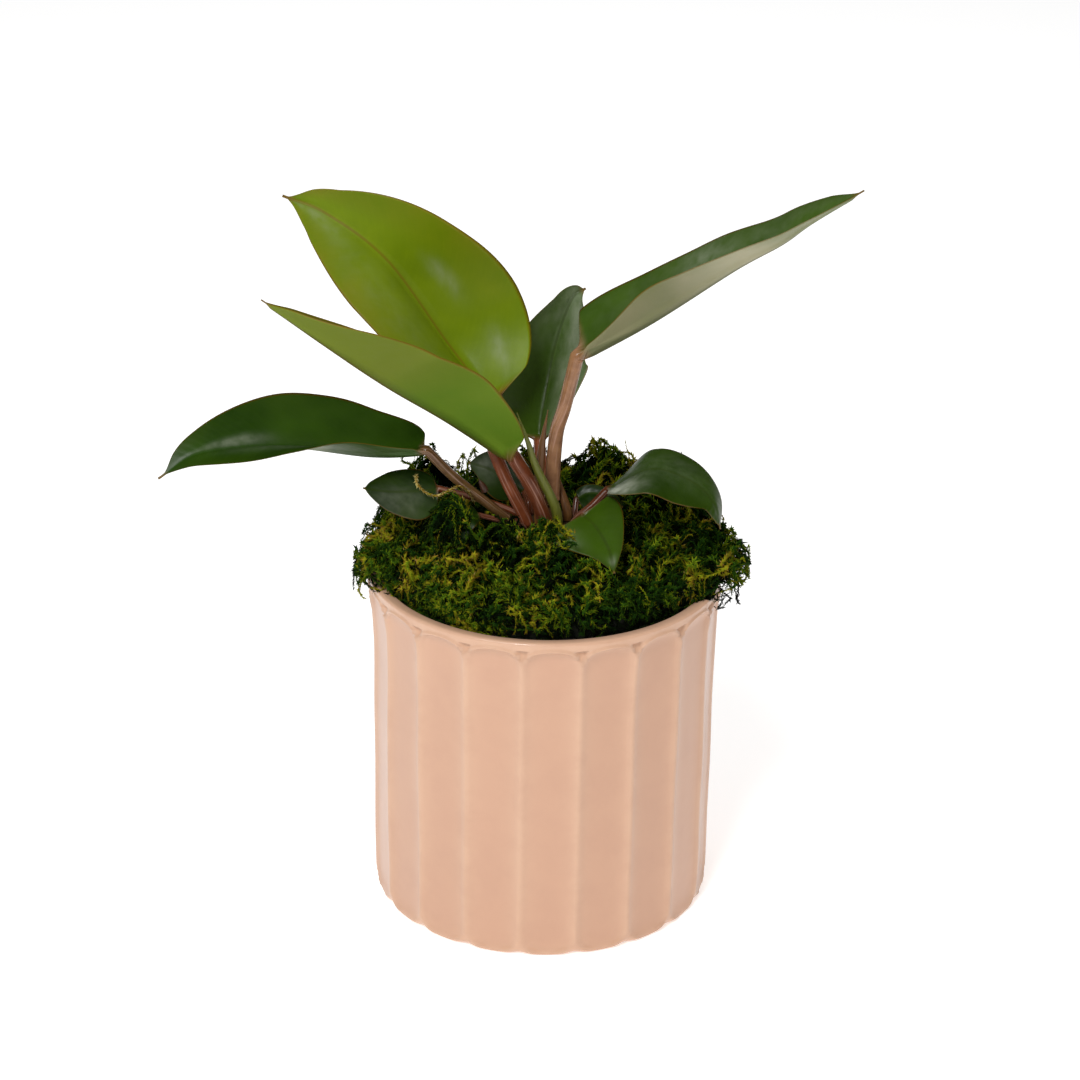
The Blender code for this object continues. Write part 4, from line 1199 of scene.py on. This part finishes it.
def moss_patch(name, count, seed, sector, inner, outer, lift, rise, stand, leaf, length, tone,
               tuft=(0, 0, 0, 1)):
    """Strands spread evenly over a sector, in degrees, of a ring of the moss, from its inner to
    its outer share of the radius.  Lift and tone are pairs of a middle value and a spread."""
    draw = np.random.default_rng(seed)
    turn = np.radians(draw.uniform(*sector, count))
    share = np.sqrt(draw.uniform(inner ** 2, outer ** 2, count))
    ground = around_axis(turn, moss_edge(turn) * share, 0.0)
    clump = ripple(ground, CLUMP_SIZE, 7)
    comb = COMB_TURN * ripple(ground, COMB_SIZE, 8)
    heading = turn + comb + draw.normal(0, 0.9, count)
    tones = tone[0] + CLUMP_TONE * clump + draw.normal(0, tone[1], count)
    lumps = ripple(ground, LUMP_SIZE, 9)
    lifts = lift[0] + LUMP_LIFT * lumps + draw.normal(0, lift[1], count)
    tones = np.clip(tones + LUMP_PAINTED_LIGHT * lumps, tone[0] - DARKEST, LIGHTEST)
    paths = lay_strands(ground[:, 0], ground[:, 1], heading, draw.normal(0, 2.4, count), lifts,
                        np.abs(draw.normal(0, rise, count)),
                        stand * draw.uniform(0, 1, count) ** 2,
                        length * draw.uniform(0.6, 1.4, count), tuft, draw)
    sizes = leaf * draw.uniform(0.75, 1.25, count)[:, None] * np.linspace(1.1, 0.7, PARTS)
    return dress_shoots(name, paths.reshape(-1, LEAVES_A_SHOOT, 3), np.repeat(tones, PARTS),
                        sizes.ravel(), draw)


# %% [markdown]
# The tone number runs from shaded near-black shoots, through deep and bright green, to olive,
# straw and brown dry ones.  One ramp holds these colours, so neighbouring shoots differ a little.
# Dried moss is dull, with hardly any gloss.

# %% Moss colours
def moss_shoot_material():
    """Dull green shoots: colour by the tone attribute, broken up by a fine noise."""
    material, shader = new_material("preserved_moss_shoots")
    place = add_node(material, "ShaderNodeTexCoord").outputs["Object"]
    tone = add_node(material, "ShaderNodeAttribute", attribute_name="tone").outputs["Fac"]
    fine = add_node(material, "ShaderNodeTexNoise", {
        "Vector": place, "Scale": 350.0, "Detail": 2.0})
    shifted = add_node(material, "ShaderNodeMath", {0: fine, 1: 0.16, 2: -0.08},
                       operation="MULTIPLY_ADD")
    level = add_node(material, "ShaderNodeMath", {0: tone, 1: shifted}, operation="ADD")
    ramp = add_node(material, "ShaderNodeValToRGB", {"Fac": level})
    set_ramp(ramp, ((0.0, "#040801"), (0.18, "#0c1c03"), (0.32, "#143205"), (0.46, "#2c4c08"),
                    (0.58, "#60780e"), (0.72, "#989618"), (0.86, "#8c6820"), (1.0, "#d0c27c")))
    fill_inputs(material, shader, {
        "Base Color": ramp, "Roughness": 0.65, "Specular IOR Level": 0.06})
    return material


moss_shoots = moss_shoot_material()
ALL = (-180, 180)
MOSS_PATCHES = {     # count, sector, inner, outer, lift, rise, stand, leaf, length, tone, tuft
    # The deep strands lie lowest and take the darkest tone, as painted shade deep in the cushion.
    "moss_deep_strands": (740, ALL, 0.22, 0.86, (-2.4, 0.7), 1.0, 0, 2.3, 20, (0.11, 0.06)),
    "moss_green_strands": (1150, ALL, 0.22, 1.0, (-0.6, 1.2), 2.6, 0, 2.2, 18, (0.22, 0.09)),
    "moss_bright_strands": (560, ALL, 0.24, 1.0, (1.4, 1.3), 3.2, 2, 2.2, 14, (0.54, 0.11)),
    "moss_edge_strands": (720, ALL, 0.84, 0.98, (0.4, 1.4), 2.8, 3, 2.0, 12, (0.54, 0.12)),
    "moss_lip_strands": (130, (-68, -15), 0.99, 1.02, (-2.5, 1.4), 2.0, 2, 1.8, 11, (0.54, 0.12)),
    "moss_left_tuft": (200, (-88, -48), 0.38, 0.68, (-0.5, 1.2), 1.5, 2, 1.8, 13, (0.30, 0.10),
                       (-34, -15, 21, 11)),
    "moss_stalk_tuft": (100, (-85, -22), 0.24, 0.44, (0.0, 1.2), 1.5, 2, 1.8, 11, (0.27, 0.10),
                        (-19, -13, 11, 10)),
    "moss_foot_tuft": (110, (-60, 40), 0.24, 0.40, (0.5, 1.0), 1.5, 3, 1.7, 10, (0.50, 0.12),
                       (-4, -17, 4, 12)),
    "moss_sprigs": (150, ALL, 0.35, 1.0, (1.0, 1.0), 1.0, 12, 1.5, 11, (0.50, 0.14)),
}
for number, (name, (count, *shape)) in enumerate(MOSS_PATCHES.items()):
    seat(moss_patch(name, count, 20 + number, *shape), moss_shoots, "moss")

# %% [markdown]
# A few strands are listed one by one: a pale dry one that loops over the low leaf's stalk, a short
# curl beside it and four short ones near the stalks.  Each is cut into shoots, one for every point.

# %% Loose strands
STRANDS = (                # tone, then points along the strand
    (0.95, (-48.4, 12, 159), (-47.5, 0, 164.5), (-46.8, -8, 164.7), (-43.6, -12, 163.2),
     (-39.4, -14.5, 163), (-35.4, -15.5, 165.4), (-31.8, -15.5, 167.4), (-29, -15, 166),
     (-27.2, -13.5, 162.7), (-26.3, -12, 160)),
    (0.62, (-48, 12, 160), (-50, 11, 164), (-53, 10, 166), (-52, 11, 169)),
    (0.34, (-36, -19, 144), (-35, -21, 152), (-31, -22, 156), (-27, -23, 152), (-24, -25, 146)),
    (0.30, (-30, -24, 144), (-32, -22, 151), (-35, -19, 156), (-38, -15, 158)),
    (0.38, (-40, -20, 143), (-41, -18, 151), (-38, -16, 158), (-33, -18, 160)),
    (0.50, (-24, -22, 146), (-22, -21, 152), (-17, -21, 155), (-12, -22, 151)),
)
LOOSE_LEAF = 1.8
draw = np.random.default_rng(40)
paths, tones = [], []
for tone, *points in STRANDS:
    parts = len(points)
    path = smooth_path(points, np.linspace(0, 1, parts * LEAVES_A_SHOOT))
    paths.append(path.reshape(parts, -1, 3))
    tones += [tone] * parts
paths = np.concatenate(paths)
leaf_sizes = np.full(len(paths), LOOSE_LEAF)
seat(dress_shoots("moss_loose_strands", paths, np.array(tones), leaf_sizes, draw),
     moss_shoots, "moss")
print(len(paths), "shoots in", len(STRANDS), "loose strands")

# %% [markdown]
# ## Floor and light
#
# The plant stands on a white sweep.  A little emission keeps the sweep white without hard lights
# on the plant.

# %% Floor
floor_mesh = bpy.data.meshes.new("white_sweep")
floor_mesh.from_pydata([(-4, -4, 0), (4, -4, 0), (4, 6, 0), (-4, 6, 0)], [], [(0, 1, 2, 3)])
floor = bpy.data.objects.new("white_sweep", floor_mesh)
bpy.context.collection.objects.link(floor)
sweep, sweep_shader = new_material("matt_white_sweep")
fill_inputs(sweep, sweep_shader, {
    "Base Color": linear("#fafafa"), "Roughness": 0.8,
    "Emission Color": linear("#ffffff"), "Emission Strength": 0.45})
floor_mesh.materials.append(sweep)
print("floor done")

# %% [markdown]
# A soft sky and four soft panels light the plant.  The key panel stands high on the left and gives
# the broad sheen on the leaves, and a narrow panel near it adds the spark on the glaze.  The top
# and fill panels only soften the shadows: they and the sky are kept out of the gloss, where
# they would lie over dark leaves like a veil.

# %% Lights
world = bpy.data.worlds.new("studio_sky")
world.use_nodes = True
sky = world.node_tree.nodes["Background"]
sky.inputs["Color"].default_value = (1.0, 1.0, 1.0, 1.0)
sky.inputs["Strength"].default_value = 0.35
bpy.context.scene.world = world
world.cycles_visibility.glossy = False


def soft_panel(name, place, target, size, power, warmth="#ffffff"):
    """Area light at a place, turned so that it shines at a target."""
    data = bpy.data.lights.new(name, "AREA")
    data.shape = "RECTANGLE"
    data.size, data.size_y = size
    data.energy = power
    data.color = linear(warmth)[:3]
    light = bpy.data.objects.new(name, data)
    direction = np.array(target) - np.array(place)
    away = unit(-direction)
    side = unit(np.cross([0.0, 0.0, 1.0], away) + np.array([1e-6, 0, 0]))
    turned = Matrix(np.stack([side, np.cross(away, side), away], axis=1).tolist()).to_4x4()
    light.matrix_world = Matrix.Translation(place) @ turned
    bpy.context.collection.objects.link(light)
    return light


soft_panel("key_panel", (-0.6, -1.0, 1.25), (0, 0, 0.15), (0.8, 0.8), 12)
top = soft_panel("top_panel", (0.2, 0.5, 1.4), (0, 0, 0.15), (1.0, 0.7), 5)
fill = soft_panel("fill_panel", (1.2, -0.9, 0.7), (0, 0, 0.12), (0.8, 0.8), 2, "#ffe0c4")
soft_panel("spark_panel", (-0.3, -1.05, 1.35), (0, 0, 0.12), (0.25, 0.5), 7)
top.visible_glossy = fill.visible_glossy = False
print("lights done")
